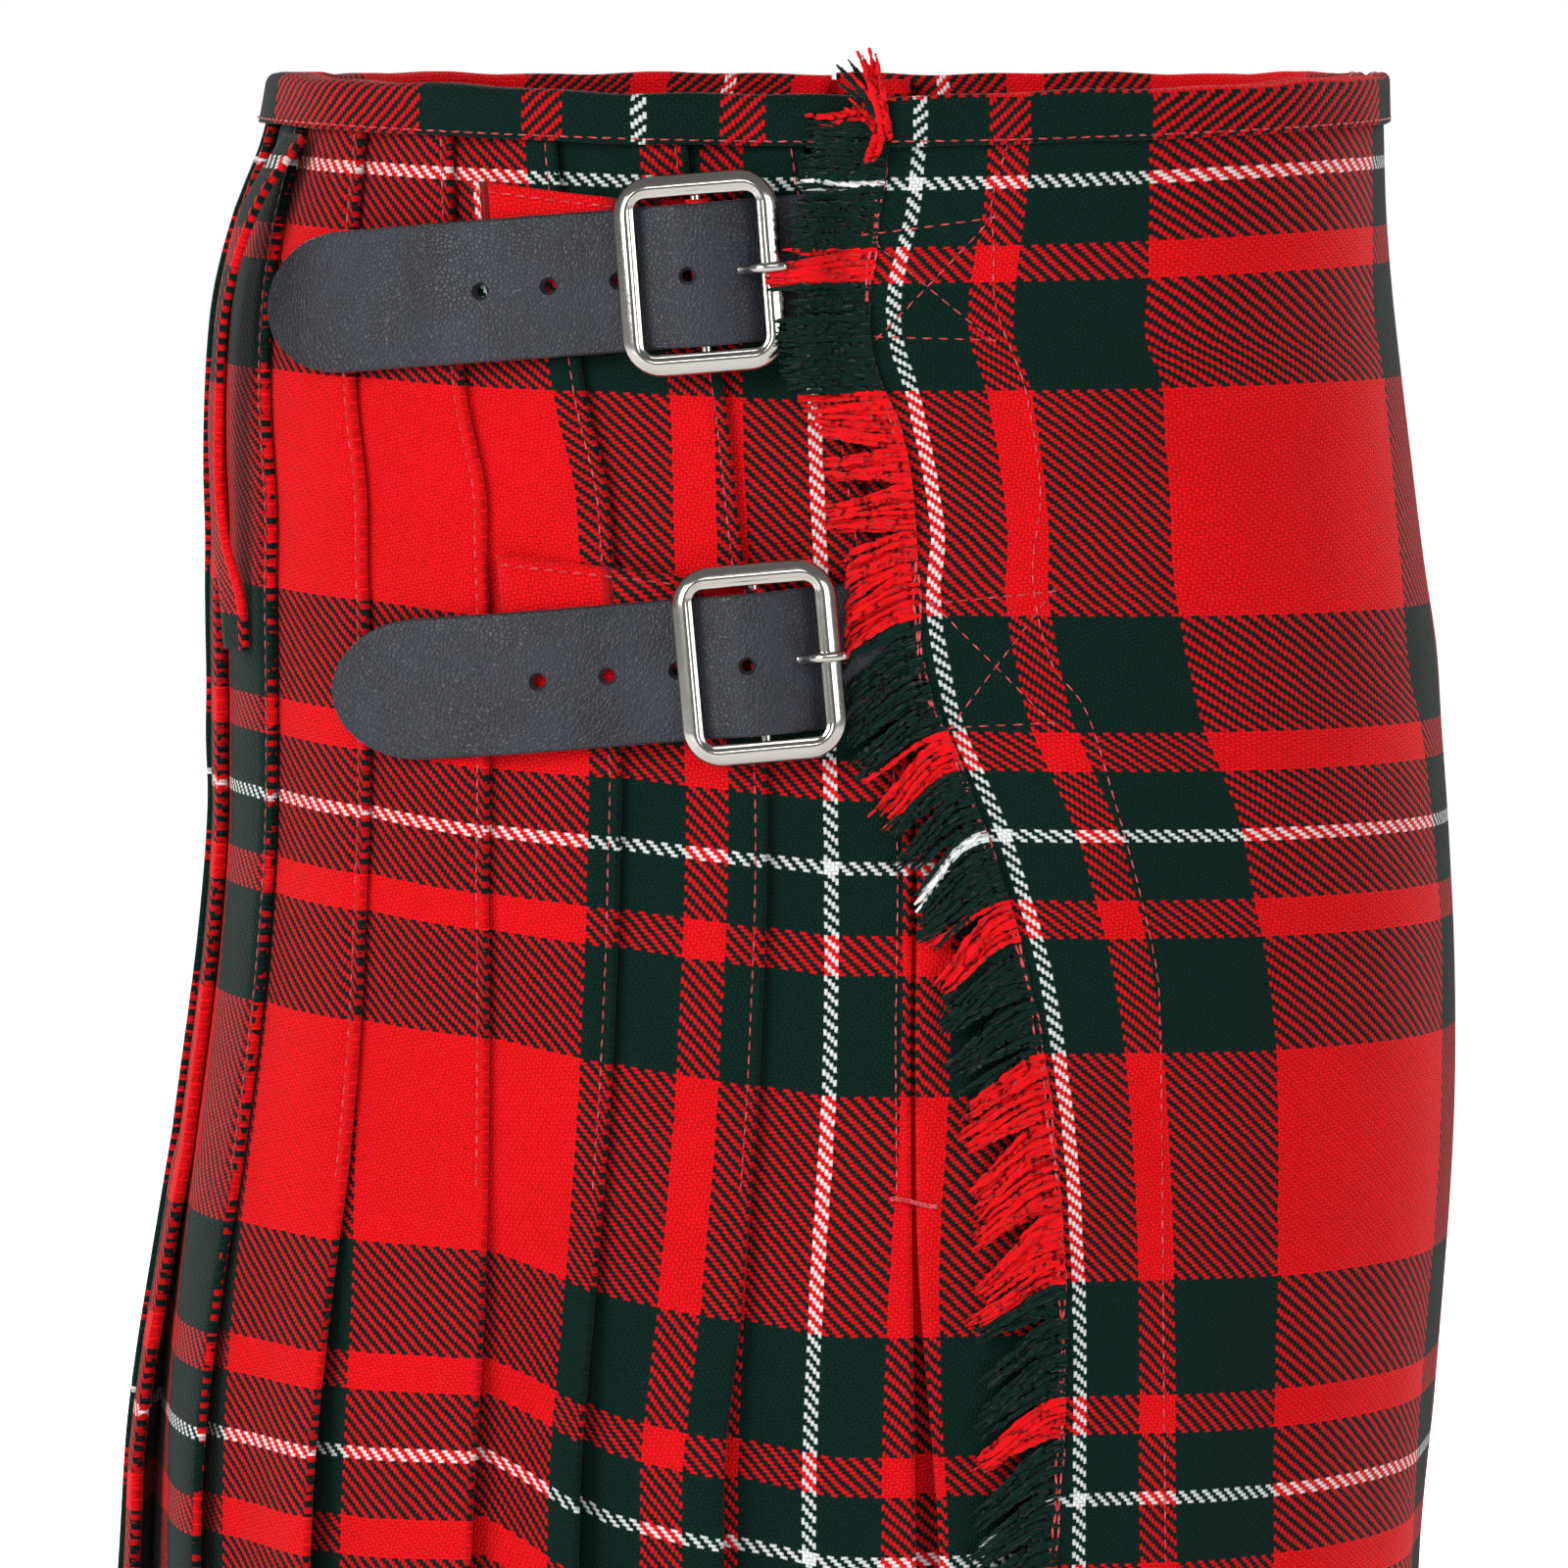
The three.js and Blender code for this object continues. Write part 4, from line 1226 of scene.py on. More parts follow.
@dataclass
class Waistbands:
    """The binding over the top edge: one length on the pleats and one on each apron."""

    form: Form
    weave: Weave
    top: float = 45.0
    bottom: float = 33.5
    wall: float = 1.2
    red_strip: float = 1.3
    crown_weft: float = -25.8
    knots_y: Sequence[float] = (14.7, 24.8, 43.0, 60.0, 69.2, 91.9)
    knots_thread: Sequence[float] = (32.0, 20.0, 0.0, -20.0, -32.0, -68.0)

    def build(self, finishes: Finishes) -> list[bpy.types.Object]:
        """Builds and dresses the three lengths."""
        f = self.form
        total = f.ring(40).total
        first, last, inner = f.fold(40, 0), f.fold(40, 15), f.inner(40, 15)
        legs = (
            ("pleats", (first - 20, last - 2.6), (1.5, -6.9), (True, True)),
            ("over_apron", (last - total + 0.4, f.edge_at(40)), (5.7, 3.1), (True, False)),
            ("under_apron", (inner - total + 1, first - 23.5), (0.0, -1.6), (False, True)),
        )
        made = []
        for part, ends, depths, shown in legs:
            name = f"waistband_{part}"
            threads = self.pleat_threads if part == "pleats" else self.apron_threads
            piece = cloth_wall(name, *self.grid(*ends, *depths, *shown, threads), self.wall)
            made.append(finish_piece(piece, [finishes.tartan], "waistband_wool", [name]))
        return made

    def pleat_threads(self, s: Array) -> Array:
        """Threads of the binding on the pleats."""
        places = [self.form.along(38, y) for y in self.knots_y]
        return beyond(s, places, self.knots_thread, -1 / self.weave.pitch)

    def apron_threads(self, s: Array) -> Array:
        """Threads of the binding on an apron, in line with the apron's own."""
        return self.weave.apron_threads(36, s)

    def grid(
        self,
        start: float,
        end: float,
        outer: float,
        inner: float,
        out_leg: bool,
        in_leg: bool,
        threads: Callable[[Array], Array],
    ) -> tuple[Array, Array]:
        """Points and weave of one length of binding.

        Args:
            start: where it begins along the plan.
            end: where it ends.
            outer: depth of the middle of the outer leg.
            inner: depth of the middle of the inner leg.
            out_leg: whether it has an outer leg.
            in_leg: whether it has an inner leg.
            threads: gives the thread at each place.

        Returns:
            A grid of points and a grid of weave coordinates, rows from inside over the top.
        """
        radius = min((outer - inner) / 2, 1.6)
        shoulder = self.top - self.wall / 2 - radius
        course: list[tuple[float, float]] = []
        if in_leg:
            course += [(z, inner) for z in (self.bottom, 36.5, 39.5)]
        for centre, way, angles in (
            (inner + radius, -1, (0, 30, 60, 90)),
            (outer - radius, 1, (90, 60, 30, 0)),
        ):
            for a in np.radians(angles):
                level = centre + way * radius * math.cos(a)
                course.append((shoulder + radius * math.sin(a), level))
        if out_leg:
            course += [(z, outer) for z in (41.2, 39.6, 37.8, 36, 34.8, self.bottom)]
        s = np.linspace(start, end, max(12, int((end - start) / 2.6)))
        z, d = (column[:, None] + 0 * s for column in np.array(course).T)
        wave = 0.28 * np.sin(s / 11.0) + 0.22 * np.sin(s / 4.7 + 1.0)
        z = z + np.where(z > 40, wave, 0.5 * wave)
        d = d + 0.25 * np.sin(s / 6.1)
        run = np.concatenate([[0], np.cumsum(np.hypot(np.diff(z[:, 0]), np.diff(d[:, 0])))])
        crown = run[np.argmax(z[:, 0])]
        v = self.crown_weft - self.red_strip + (run - crown)[:, None] + 0 * s
        return self.form.points(z, s, d), np.stack([threads(s) + 0 * v, v], -1)


# ---------------------------------------------------------------- geometry nodes


class Repeater:
    """A Geometry Nodes tree that turns guide lines into real small parts."""

    def __init__(
        self, name: str, sizes: Sequence[str], counts: Sequence[str], finish: str
    ) -> None:
        """Starts a tree with its named inputs, and turns the guides into curves.

        Args:
            name: the tree's name.
            sizes: names of its number inputs.
            counts: names of its whole number inputs.
            finish: name of its material input.
        """
        self.tree = bpy.data.node_groups.new(name, "GeometryNodeTree")
        self.graph = Graph(self.tree)
        self.finish = finish
        asked = [("Geometry", "Geometry"), *((s, "Float") for s in sizes)]
        asked += [*((c, "Int") for c in counts), (finish, "Material")]
        add = self.tree.interface.new_socket
        add("Geometry", in_out="OUTPUT", socket_type="NodeSocketGeometry")
        self.sockets = {
            key: add(key, in_out="INPUT", socket_type=f"NodeSocket{kind}").identifier
            for key, kind in asked
        }
        self.given = self.graph.add("NodeGroupInput").node.outputs
        self.curve = self.graph.add("GeometryNodeMeshToCurve", self.given["Geometry"])

    def close(self, parts: bpy.types.NodeSocket) -> None:
        """Ends the tree: makes the parts real and dresses them."""
        real = self.graph.add("GeometryNodeRealizeInstances", parts)
        feeds = {"Geometry": real, "Material": self.given[self.finish]}
        self.graph.add("NodeGroupOutput", self.graph.add("GeometryNodeSetMaterial", feeds))

    def run(self, name: str, guides: bpy.types.Object, values: dict) -> bpy.types.Object:
        """Evaluates the tree on guide lines.

        Args:
            name: name of the result.
            guides: an object whose edges are the guide lines; it is removed.
            values: a value for each named input.

        Returns:
            A plain mesh object.
        """
        modifier = guides.modifiers.new(name, "NODES")
        modifier.node_group = self.tree
        for key, value in values.items():
            modifier[self.sockets[key]] = value
        mesh = applied(guides, modifier)
        mesh.name = name
        bpy.data.objects.remove(guides)
        return add_object(name, mesh)


def guide_lines(
    name: str, lines: Sequence[Array], values: dict[str, list[float]] | None = None
) -> bpy.types.Object:
    """An object whose edges are the given lines.

    Args:
        name: the object's name.
        lines: points of each line, in millimetres.
        values: for each attribute, one value for each line.

    Returns:
        The object, linked to the scene.
    """
    points = np.concatenate(lines) * MM
    edges, start = [], 0
    for line in lines:
        edges += [(start + k, start + k + 1) for k in range(len(line) - 1)]
        start += len(line)
    mesh = bpy.data.meshes.new(name)
    mesh.from_pydata(points.tolist(), edges, [])
    for key, each in (values or {}).items():
        attribute = mesh.attributes.new(key, "FLOAT", "POINT")
        spread = np.repeat(np.array(each, np.float32), [len(line) for line in lines])
        attribute.data.foreach_set("value", spread)
    return add_object(name, mesh)


def stitch_tree() -> Repeater:
    """Tree that lays a row of separate thread stitches along each guide line."""
    maker = Repeater("Stitches", ("Pitch", "Length", "Thickness", "Wobble"), ("Seed",), "Thread")
    g, given = maker.graph, maker.given
    spaced = g.add(
        "GeometryNodeResampleCurve", {"Curve": maker.curve, "Length": given["Pitch"]}, mode="LENGTH"
    )
    ball = g.add("GeometryNodeMeshUVSphere", {"Segments": 7, "Rings": 5, "Radius": 0.5})
    size = g.add("ShaderNodeCombineXYZ", given["Length"], given["Thickness"], given["Thickness"])
    stitch = g.add("GeometryNodeTransform", {"Geometry": ball, "Scale": size})
    tangent = g.add("GeometryNodeInputTangent")
    turned = g.add("FunctionNodeAlignRotationToVector", {"Vector": tangent}, axis="X")
    least, most = (
        g.add(VECTOR, {0: (way, way, way), "Scale": given["Wobble"]}, operation="SCALE")
        for way in (-1.0, 1.0)
    )
    feeds = {0: least, 1: most, "Seed": given["Seed"]}
    sway = g.add("FunctionNodeRandomValue", feeds, data_type="FLOAT_VECTOR")
    swayed = g.add("FunctionNodeRotateRotation", turned, sway)
    feeds = {"Points": spaced, "Instance": stitch, "Rotation": swayed}
    maker.close(g.add("GeometryNodeInstanceOnPoints", feeds))
    return maker


def yarn_tree() -> Repeater:
    """Tree that twists a two-ply yarn round each guide line."""
    maker = Repeater("Yarns", ("Thickness", "Turns", "Waver"), ("Steps", "Seed"), "Yarn")
    g, given = maker.graph, maker.given
    spaced = g.add(
        "GeometryNodeResampleCurve", {"Curve": maker.curve, "Count": given["Steps"]}, mode="COUNT"
    )
    position = g.add("GeometryNodeInputPosition")
    feeds = {"Vector": position, "W": given["Seed"], "Scale": 190.0, "Detail": 1.0}
    blur = g.add(NOISE, feeds, noise_dimensions="4D", out="Color")
    centred = g.add(VECTOR, blur, (0.5, 0.5, 0.5), operation="SUBTRACT")
    factor = g.add("GeometryNodeSplineParameter", out="Factor")
    reach = g.add(MATH, factor, given["Waver"], operation="MULTIPLY")
    shift = g.add(VECTOR, {0: centred, "Scale": reach}, operation="SCALE")
    moved = g.add("GeometryNodeSetPosition", {"Geometry": spaced, "Offset": shift})
    phase = g.add("FunctionNodeRandomValue", {2: 0.0, 3: 6.28, "Seed": given["Seed"]}, out=1)
    whole = g.add(MATH, given["Turns"], 6.2832, operation="MULTIPLY")
    tilt = g.add(MATH, factor, whole, phase, operation="MULTIPLY_ADD")
    tilted = g.add("GeometryNodeSetCurveTilt", {"Curve": moved, "Tilt": tilt})
    taper = g.add(MATH, factor, 6.0, operation="POWER")
    thin = g.add(MATH, taper, -0.55, 1.0, operation="MULTIPLY_ADD")
    sized = g.add("GeometryNodeSetCurveRadius", {"Curve": tilted, "Radius": thin})
    feeds = {"Resolution": 6, "Radius": given["Thickness"]}
    circle = g.add("GeometryNodeCurvePrimitiveCircle", feeds)
    squash = g.add("GeometryNodeTransform", {"Geometry": circle, "Scale": (1.0, 0.6, 1.0)})
    feeds = {"Curve": sized, "Profile Curve": squash, "Fill Caps": True}
    body = g.add("GeometryNodeCurveToMesh", feeds)
    if "Scale" in body.node.inputs:
        g.link(body.node, Scale=thin)
    maker.close(body)
    return maker


# ---------------------------------------------------------------- fringe


@dataclass
class Fringe:
    """Loose weft yarns along the over apron's edge, drawn together into tufts."""

    form: Form
    weave: Weave
    pitch: float = 0.64
    long: Table = ((45, 18.5), (-50, 19), (-75, 23), (-110, 22), (-565, 22.5))
    thick: float = 0.8
    seed: int = 7
    sett: Sett = Sett()
    green_weft: float = 17.5
    red_weft: float = -49.8
    droop: Table = (
        (45, -4),
        (0, 0),
        (-50, 11),
        (-66, 30),
        (-90, 38),
        (-130, 47),
        (-165, 40),
        (-230, 38),
        (-565, 38),
    )

    def build(self, finishes: Finishes) -> bpy.types.Object:
        """Builds and dresses the yarns."""
        random = np.random.default_rng(self.seed)
        lines, wefts = [], []
        half = self.sett.half * self.sett.weft
        z = tuft_end = self.form.top
        while z > self.form.hem + 3:
            if z <= tuft_end:
                tuft = random.uniform(6, 13)
                tuft_end = z - tuft
                pull = random.uniform(0.3, 0.8)
                away = random.uniform(-7, 7)
                middle = z - tuft / 2
            by_buckle = -26 < z < 38
            lines.append(self.yarn(z, middle, pull * (0.3 if by_buckle else 1.0), away, random))
            weft = float(z - self.weave.apron_rise(z, np.array([self.form.edge_at(z)]))[0])
            # Some of the white yarns have worked out of the fringe.
            off = (weft - self.sett.line + half) % (2 * half) - half
            if abs(off) < 1.6 and random.random() < 0.5:
                weft += 4.0
            wefts.append(weft)
            z -= self.pitch * random.uniform(0.75, 1.25) * (0.6 if by_buckle else 1.0)
        more, tones = self.tuft(random)
        guides = guide_lines("fringe_guides", lines + more, {"weft": wefts + tones})
        values = {
            "Thickness": self.thick * MM,
            "Turns": 4.0,
            "Waver": 0.0016,
            "Steps": 14,
            "Seed": self.seed,
            "Yarn": finishes.yarn,
        }
        made = yarn_tree().run("fringe", guides, values)
        return finish_piece(made, [finishes.yarn], "fringe_wool", ["fringe"])

    def yarn(
        self, z: float, middle: float, pull: float, away: float, random: np.random.Generator
    ) -> Array:
        """Centreline of one yarn.

        Args:
            z: height of its root.
            middle: height of the middle of its tuft.
            pull: how far it is drawn to its tuft.
            away: how far its tuft turns from the mean droop, in degrees.
            random: the seeded source.

        Returns:
            Points from the root to the tip.
        """
        f = self.form
        angle = math.radians(float(smooth(self.droop, 1, z)) + away + random.normal(0, 3.0))
        long = float(smooth(self.long, 1, z)) * random.uniform(0.88, 1.08)
        part = np.linspace(0, 1, 9)
        turn = angle * ease(part, -0.1, 0.55)
        steps = long / 8
        ds = np.concatenate([[0], np.cumsum(np.cos(turn[1:]) * steps)])
        dz = np.concatenate([[0], np.cumsum(-np.sin(turn[1:]) * steps)])
        gather = (middle - z) * pull * ease(part, 0.05, 1.0)
        s = f.edge_at(z) - 1.5 + ds
        height = z + dz + gather
        top = 4.7 + random.uniform(-0.9, 1.0)
        d = top - 1.2 * part + 0.9 * np.sin(math.pi * part) * random.uniform(-0.6, 1.0)
        if 0.8 < z < 9.2:
            return self.bundle(z, random, (21.5, 24.5), 1.0)
        if -24.0 < z < -5.5 or 9.2 <= z < 21:
            return self.bundle(z, random, (17.0, 21.5), 0.0)
        if -24 < height[-1] < 26:
            s = s - 0.6 * np.maximum(s - 9.0, 0)
            d = d + 4.4 * ease(s, -1.0, 6.5)
        if -110 < height[-1] < -62:
            s = s - 0.8 * np.maximum(s + 4.0, 0)
        return f.points(height, s, d)

    def bundle(
        self, z: float, random: np.random.Generator, span: tuple[float, float], close: float
    ) -> Array:
        """One of the yarns that lie over the upper buckle.

        Args:
            z: height of its root.
            random: the seeded source.
            span: its shortest and greatest reach.
            close: how far it draws together with the rest, from 0 to 1.

        Returns:
            Points from the root to the tip.
        """
        f = self.form
        part = np.linspace(0, 1, 11)
        reach = random.uniform(*span)
        s = f.edge_at(z) - 1.5 + reach * part
        height = z + close * (4.6 - z) * 0.3 * ease(part, 0, 0.9)
        height = height - (0.6 + 1.2 * close) * part**2
        height = height + random.uniform(-0.5, 0.5) * part
        d = 4.9 + random.uniform(-0.3, 0.9) + 4.5 * ease(s, -4.5, 6.0) - 1.0 * ease(s, 12, 17)
        return f.points(height, s, d)

    def tuft(self, random: np.random.Generator) -> tuple[list[Array], list[float]]:
        """Yarns of the band's own end, which stick up above the waist."""
        f = self.form
        lines, wefts = [], []
        part = np.linspace(0, 1, 9)
        for k in range(26):
            green = k % 3 == 0
            lean = random.uniform(7.5, 11.5) if green else random.uniform(1.5, 8.5)
            rise = random.uniform(14.0, 18.0) if green else random.uniform(9.0, 20.5)
            s = -11.5 + random.uniform(-1.5, 1.5) + lean * part**1.4
            height = 36.5 + random.uniform(-2, 1) + rise * part - 1.5 * part**3
            d = 6.4 + random.uniform(-1.2, 1.0) + 1.2 * part
            lines.append(f.points(height, s, d))
            wefts.append(self.green_weft if green else self.red_weft)
        for k in range(9):
            s = -10.5 + random.uniform(-1.2, 1.2) + 2.0 * part
            height = 35.5 + 0.6 * k / 9 - random.uniform(6, 9) * part * (1 - 0.35 * part)
            d = 7.0 + random.uniform(-0.4, 0.8) + 1.3 * np.sin(math.pi * part)
            lines.append(f.points(height, s, d))
            wefts.append(self.red_weft)
        return lines, wefts


# ---------------------------------------------------------------- fastenings


# Place along a tab, and the thread there; tabs are pieced from scraps.
TAB_THREADS = (
    (-51, -3),
    (-47.8, 2),
    (-47.7, 70),
    (-18, 106),
    (-17.9, 45),
    (-8, 57),
    (-7.9, 70),
    (2.6, 83),
)
LOWER_TAB_THREADS = (
    (-57, 75),
    (-33, 104),
    (-32.9, 40),
    (-12.1, 60),
    (-12, 72),
    (-2.4, 84),
    (-2.3, 50),
    (8, 60),
)


@dataclass
class Fastening:
    """Where a strap crosses a buckle, and the shapes of its parts."""

    form: Form
    name: str
    side: Side
    s: float
    z: float
    tilt: float
    front: float
    back: float
    tab: Table = ((0, 16.8), (-17, 18.4), (-51, 25))
    tab_threads: Table = TAB_THREADS
    tab_weft: float = 9.5
    half: float = 16.0
    wall: float = 2.0
    tip: float = 22.0
    turn: Table = (
        (-109, 2.3),
        (-70, 2.3),
        (-58, 3.8),
        (-20, 3.6),
        (-14, 3.7),
        (-9, 5.6),
        (-5, 7.5),
        (0, 7.9),
        (5, 7.3),
        (9, 5),
        (13, 2.6),
        (17, 2),
        (24, 2),
    )

    def points(self, u: Array, v: Array, d: Array) -> Array:
        """Points at u to the front, v up and d away from the cloth."""
        u, v, d = np.broadcast_arrays(*(np.asarray(k, float) for k in (u, v, d)))
        a = math.radians(self.tilt)
        along = u * math.cos(a) - v * math.sin(a)
        z = self.z + u * math.sin(a) + v * math.cos(a)
        if self.side is Side.RIGHT:
            return self.form.points(z, self.s - along, d, sagged=False)
        left = np.array([self.form.ring(k).left for k in z.ravel()]).reshape(z.shape)
        return self.form.points(z, left - self.s + along, d, sagged=False)

    def matrix(self) -> Array:
        """Axes and origin of the buckle, as columns of a 4 by 4 array."""
        zero = np.zeros(1)
        origin = self.points(zero, zero, zero)[0]
        front = self.points(zero + 1, zero, zero)[0] - origin
        front /= np.linalg.norm(front)
        rough = self.points(zero, zero + 1, zero)[0] - origin
        out = np.cross(front, rough) * self.side.value
        out /= np.linalg.norm(out)
        up = np.cross(out, front) * self.side.value
        made = np.eye(4)
        made[:3, 0], made[:3, 1], made[:3, 2], made[:3, 3] = front, up, out, origin
        return made

    def carry(self, points: Array) -> Array:
        """Points of the buckle's own axes carried to the form."""
        m = self.matrix()
        return np.asarray(points, float) @ m[:3, :3].T + m[:3, 3]


@dataclass
class Strap:
    """A leather strap with round holes and a rounded tip."""

    place: Fastening
    pitch: float = 15.6
    first_hole: float = 13.0
    hole: float = 2.15
    hole_back: float = 1.3
    holes: int = 5

    def build(self, finishes: Finishes) -> bpy.types.Object:
        """Builds, drills and dresses the strap."""
        f = self.place
        name = f"strap_{f.name}"
        inside = f.back + f.tip * (1 - np.cos(np.linspace(0.02, math.pi / 2, 14)))
        stations = np.array([*inside, *np.arange(f.back + f.tip + 1.6, f.front, 1.6), f.front])
        past = np.clip((f.back + f.tip - stations) / f.tip, 0, 1)
        half = np.maximum(1.0, f.half * np.sqrt(1 - past**2))
        level = smooth(f.turn, 1, stations) + self.sway(stations)
        section = self.section(f.wall)
        rows = []
        for u, h, d in zip(stations, half, level):
            v = section[:, 0] * h
            cup = 0.35 * (section[:, 0] ** 2) * (1 if h > 8 else 0)
            rows.append(f.points(np.full(len(v), u), v, d + section[:, 1] - cup))
        sides = len(section)
        faces = ring_faces(len(rows), sides)
        tags = [1 if self.on_edge(section, k % sides) else 0 for k in range(len(faces))]
        tags[-2:] = [1, 1]
        made = mesh_object(name, np.array(rows), faces, None, np.array(tags))
        point_outwards(made)
        self.drill(made)
        return finish_piece(made, [finishes.leather, finishes.raw], "strap_leather", [name])

    def sway(self, u: Array) -> Array:
        """Slow unevenness of a strap that has been worn."""
        return 0.25 * np.sin(u / 9.0 + self.place.z) * ease(np.abs(u - 2), 14, 30)

    @staticmethod
    def section(wall: float) -> Array:
        """Section of the strap: v as a share of its half width, and height."""
        h = wall / 2
        shares = (0.97, 0.93, 0.8, 0.6, 0.4, 0.2, 0, -0.2, -0.4, -0.6, -0.8, -0.93, -0.97)
        top = [(v, h) for v in shares]
        edge = [(-0.992, h * 0.7), (-1, 0.0), (-0.992, -h * 0.7)]
        low = [(v, -h) for v in (-0.97, -0.8, -0.4, 0, 0.4, 0.8, 0.97)]
        far = [(0.992, -h * 0.7), (1, 0.0), (0.992, h * 0.7)]
        return np.array(top + edge + low + far)

    @staticmethod
    def on_edge(section: Array, k: int) -> bool:
        """Whether the side after point k lies on a cut edge."""
        n = (k + 1) % len(section)
        return abs(section[k, 0]) > 0.98 or abs(section[n, 0]) > 0.98

    def drill(self, made: bpy.types.Object) -> None:
        """Cuts the holes that no tongue fills."""
        f = self.place
        parts = []
        for i in range(1, self.holes):
            u = self.first_hole - i * self.pitch
            if u < f.back + 6:
                continue
            # A punched hole closes up towards the flesh side.
            level = float(smooth(f.turn, 1, u) + self.sway(np.array(u)))
            depths = np.array([-2.0, level - f.wall / 2, level + f.wall / 2, 14.0])
            radii = np.array([self.hole_back, self.hole_back, self.hole, self.hole])
            parts.append(tube(f.points(np.full(4, u), np.zeros(4), depths), radii, 20))
        cutter = mesh_object("drills", *joined(parts))
        point_outwards(cutter)
        modifier = made.modifiers.new("holes", "BOOLEAN")
        modifier.object = cutter
        modifier.operation = "DIFFERENCE"
        modifier.solver = "EXACT"
        made.data = cut = applied(made, modifier)
        bpy.data.objects.remove(cutter)
        cut.polygons.foreach_set("use_smooth", np.ones(len(cut.polygons), bool))
        cut.set_sharp_from_angle(angle=math.radians(40))


@dataclass
class Tab:
    """The tartan strip that holds a buckle: it turns round the centre bar."""

    place: Fastening
    wall: float = 1.1
    low: float = 1.0
    eye: float = 2.3
    bar: float = 3.85
    bottom: float = -14.0

    def build(self, finishes: Finishes) -> bpy.types.Object:
        """Builds and dresses the tab."""
        f = self.place
        name = f"tab_{f.name}"
        far = float(f.tab[-1][0])
        level = self.low + self.wall / 2
        flat = np.linspace(far, -3, 24)
        course = [(float(u), level) for u in flat]
        for angle in np.arange(-90, 136, 22.5):
            a = math.radians(float(angle))
            course.append((self.eye * math.cos(a), self.bar + self.eye * math.sin(a)))
        rows, uv = [], []
        for part in np.linspace(1, 0, 26):
            row, weave = [], []
            for u, d in course:
                top = float(smooth(f.tab, 1, min(u, 0)))
                v = self.bottom + part * (top - self.bottom)
                puff = 0.5 * math.sin(u / 5.0) * (1 if u < -4 else 0) * part
                row.append((u, v, d + max(0.0, puff)))
                thread = np.interp(u, *zip(*f.tab_threads))
                weave.append((float(thread), f.tab_weft + 0.9 * (v - top)))
            rows.append(f.points(*np.array(row).T))
            uv.append(weave)
        grid, weave = np.array(rows), np.array(uv)
        if f.side is Side.RIGHT:
            grid, weave = grid[:, ::-1], weave[:, ::-1]
        piece = cloth_wall(name, grid, weave, self.wall)
        return finish_piece(piece, [finishes.tartan], "tartan_wool", [name])


@dataclass
class Buckle:
    """A cast centre-bar buckle with a broad outer chamfer."""

    place: Fastening
    wide: float = 37.0
    high: float = 45.0
    corner: float = 9.0
    open_wide: float = 27.5
    open_high: float = 35.0
    open_corner: float = 2.5
    bar: float = 1.25
    bar_level: float = 3.85
    # Section from the inner edge to the outer edge: share of the width, height.
    section: Table = (
        (0.0, 5.5),
        (0.0, 7.0),
        (0.05, 7.3),
        (0.14, 7.35),
        (0.2, 7.5),
        (0.28, 7.95),
        (0.4, 8.1),
        (0.52, 8.0),
        (0.9, 6.7),
        (0.98, 6.3),
        (1.0, 5.9),
        (0.98, 5.45),
        (0.9, 5.1),
        (0.5, 5.1),
        (0.08, 5.1),
    )

    @staticmethod
    def outline(wide: float, high: float, corner: float) -> Array:
        """A rounded rectangle as a closed ring of points."""
        x, y = wide / 2 - corner, high / 2 - corner
        points: list[tuple[float, float]] = []
        for cx, cy, start in ((x, y, 0), (-x, y, 90), (-x, -y, 180), (x, -y, 270)):
            for k in range(9):
                a = math.radians(start + 90 * k / 8)
                points.append((cx + corner * math.cos(a), cy + corner * math.sin(a)))
        return np.array(points)

    def build(self, finishes: Finishes) -> bpy.types.Object:
        """Builds and dresses the frame and its bar."""
        name = f"buckle_{self.place.name}"
        outer = self.outline(self.wide, self.high, self.corner)
        inner = self.outline(self.open_wide, self.open_high, self.open_corner)
        rows = []
        for o, i in zip(outer, inner):
            rows.append([(*(i + (o - i) * w), h) for w, h in self.section])
        frame = np.array(rows).reshape(-1, 3)
        parts = [(frame, ring_faces(len(outer), len(self.section), closed=True))]
        reach, low = self.open_high / 2 + 2.6, self.bar_level
        paths = [[(0, v, low) for v in np.linspace(-reach, reach, 15)]]
        paths += [[(0, v, low), (0, v, 6.4)] for v in (1.2 - reach, reach - 1.2)]
        parts += [tube(path, self.bar, 14) for path in paths]
        points, faces = joined(parts)
        made = mesh_object(name, self.place.carry(points), faces)
        made.data.set_sharp_from_angle(angle=math.radians(50))
        point_outwards(made)
        return finish_piece(made, [finishes.nickel], "nickel_plate", [name])


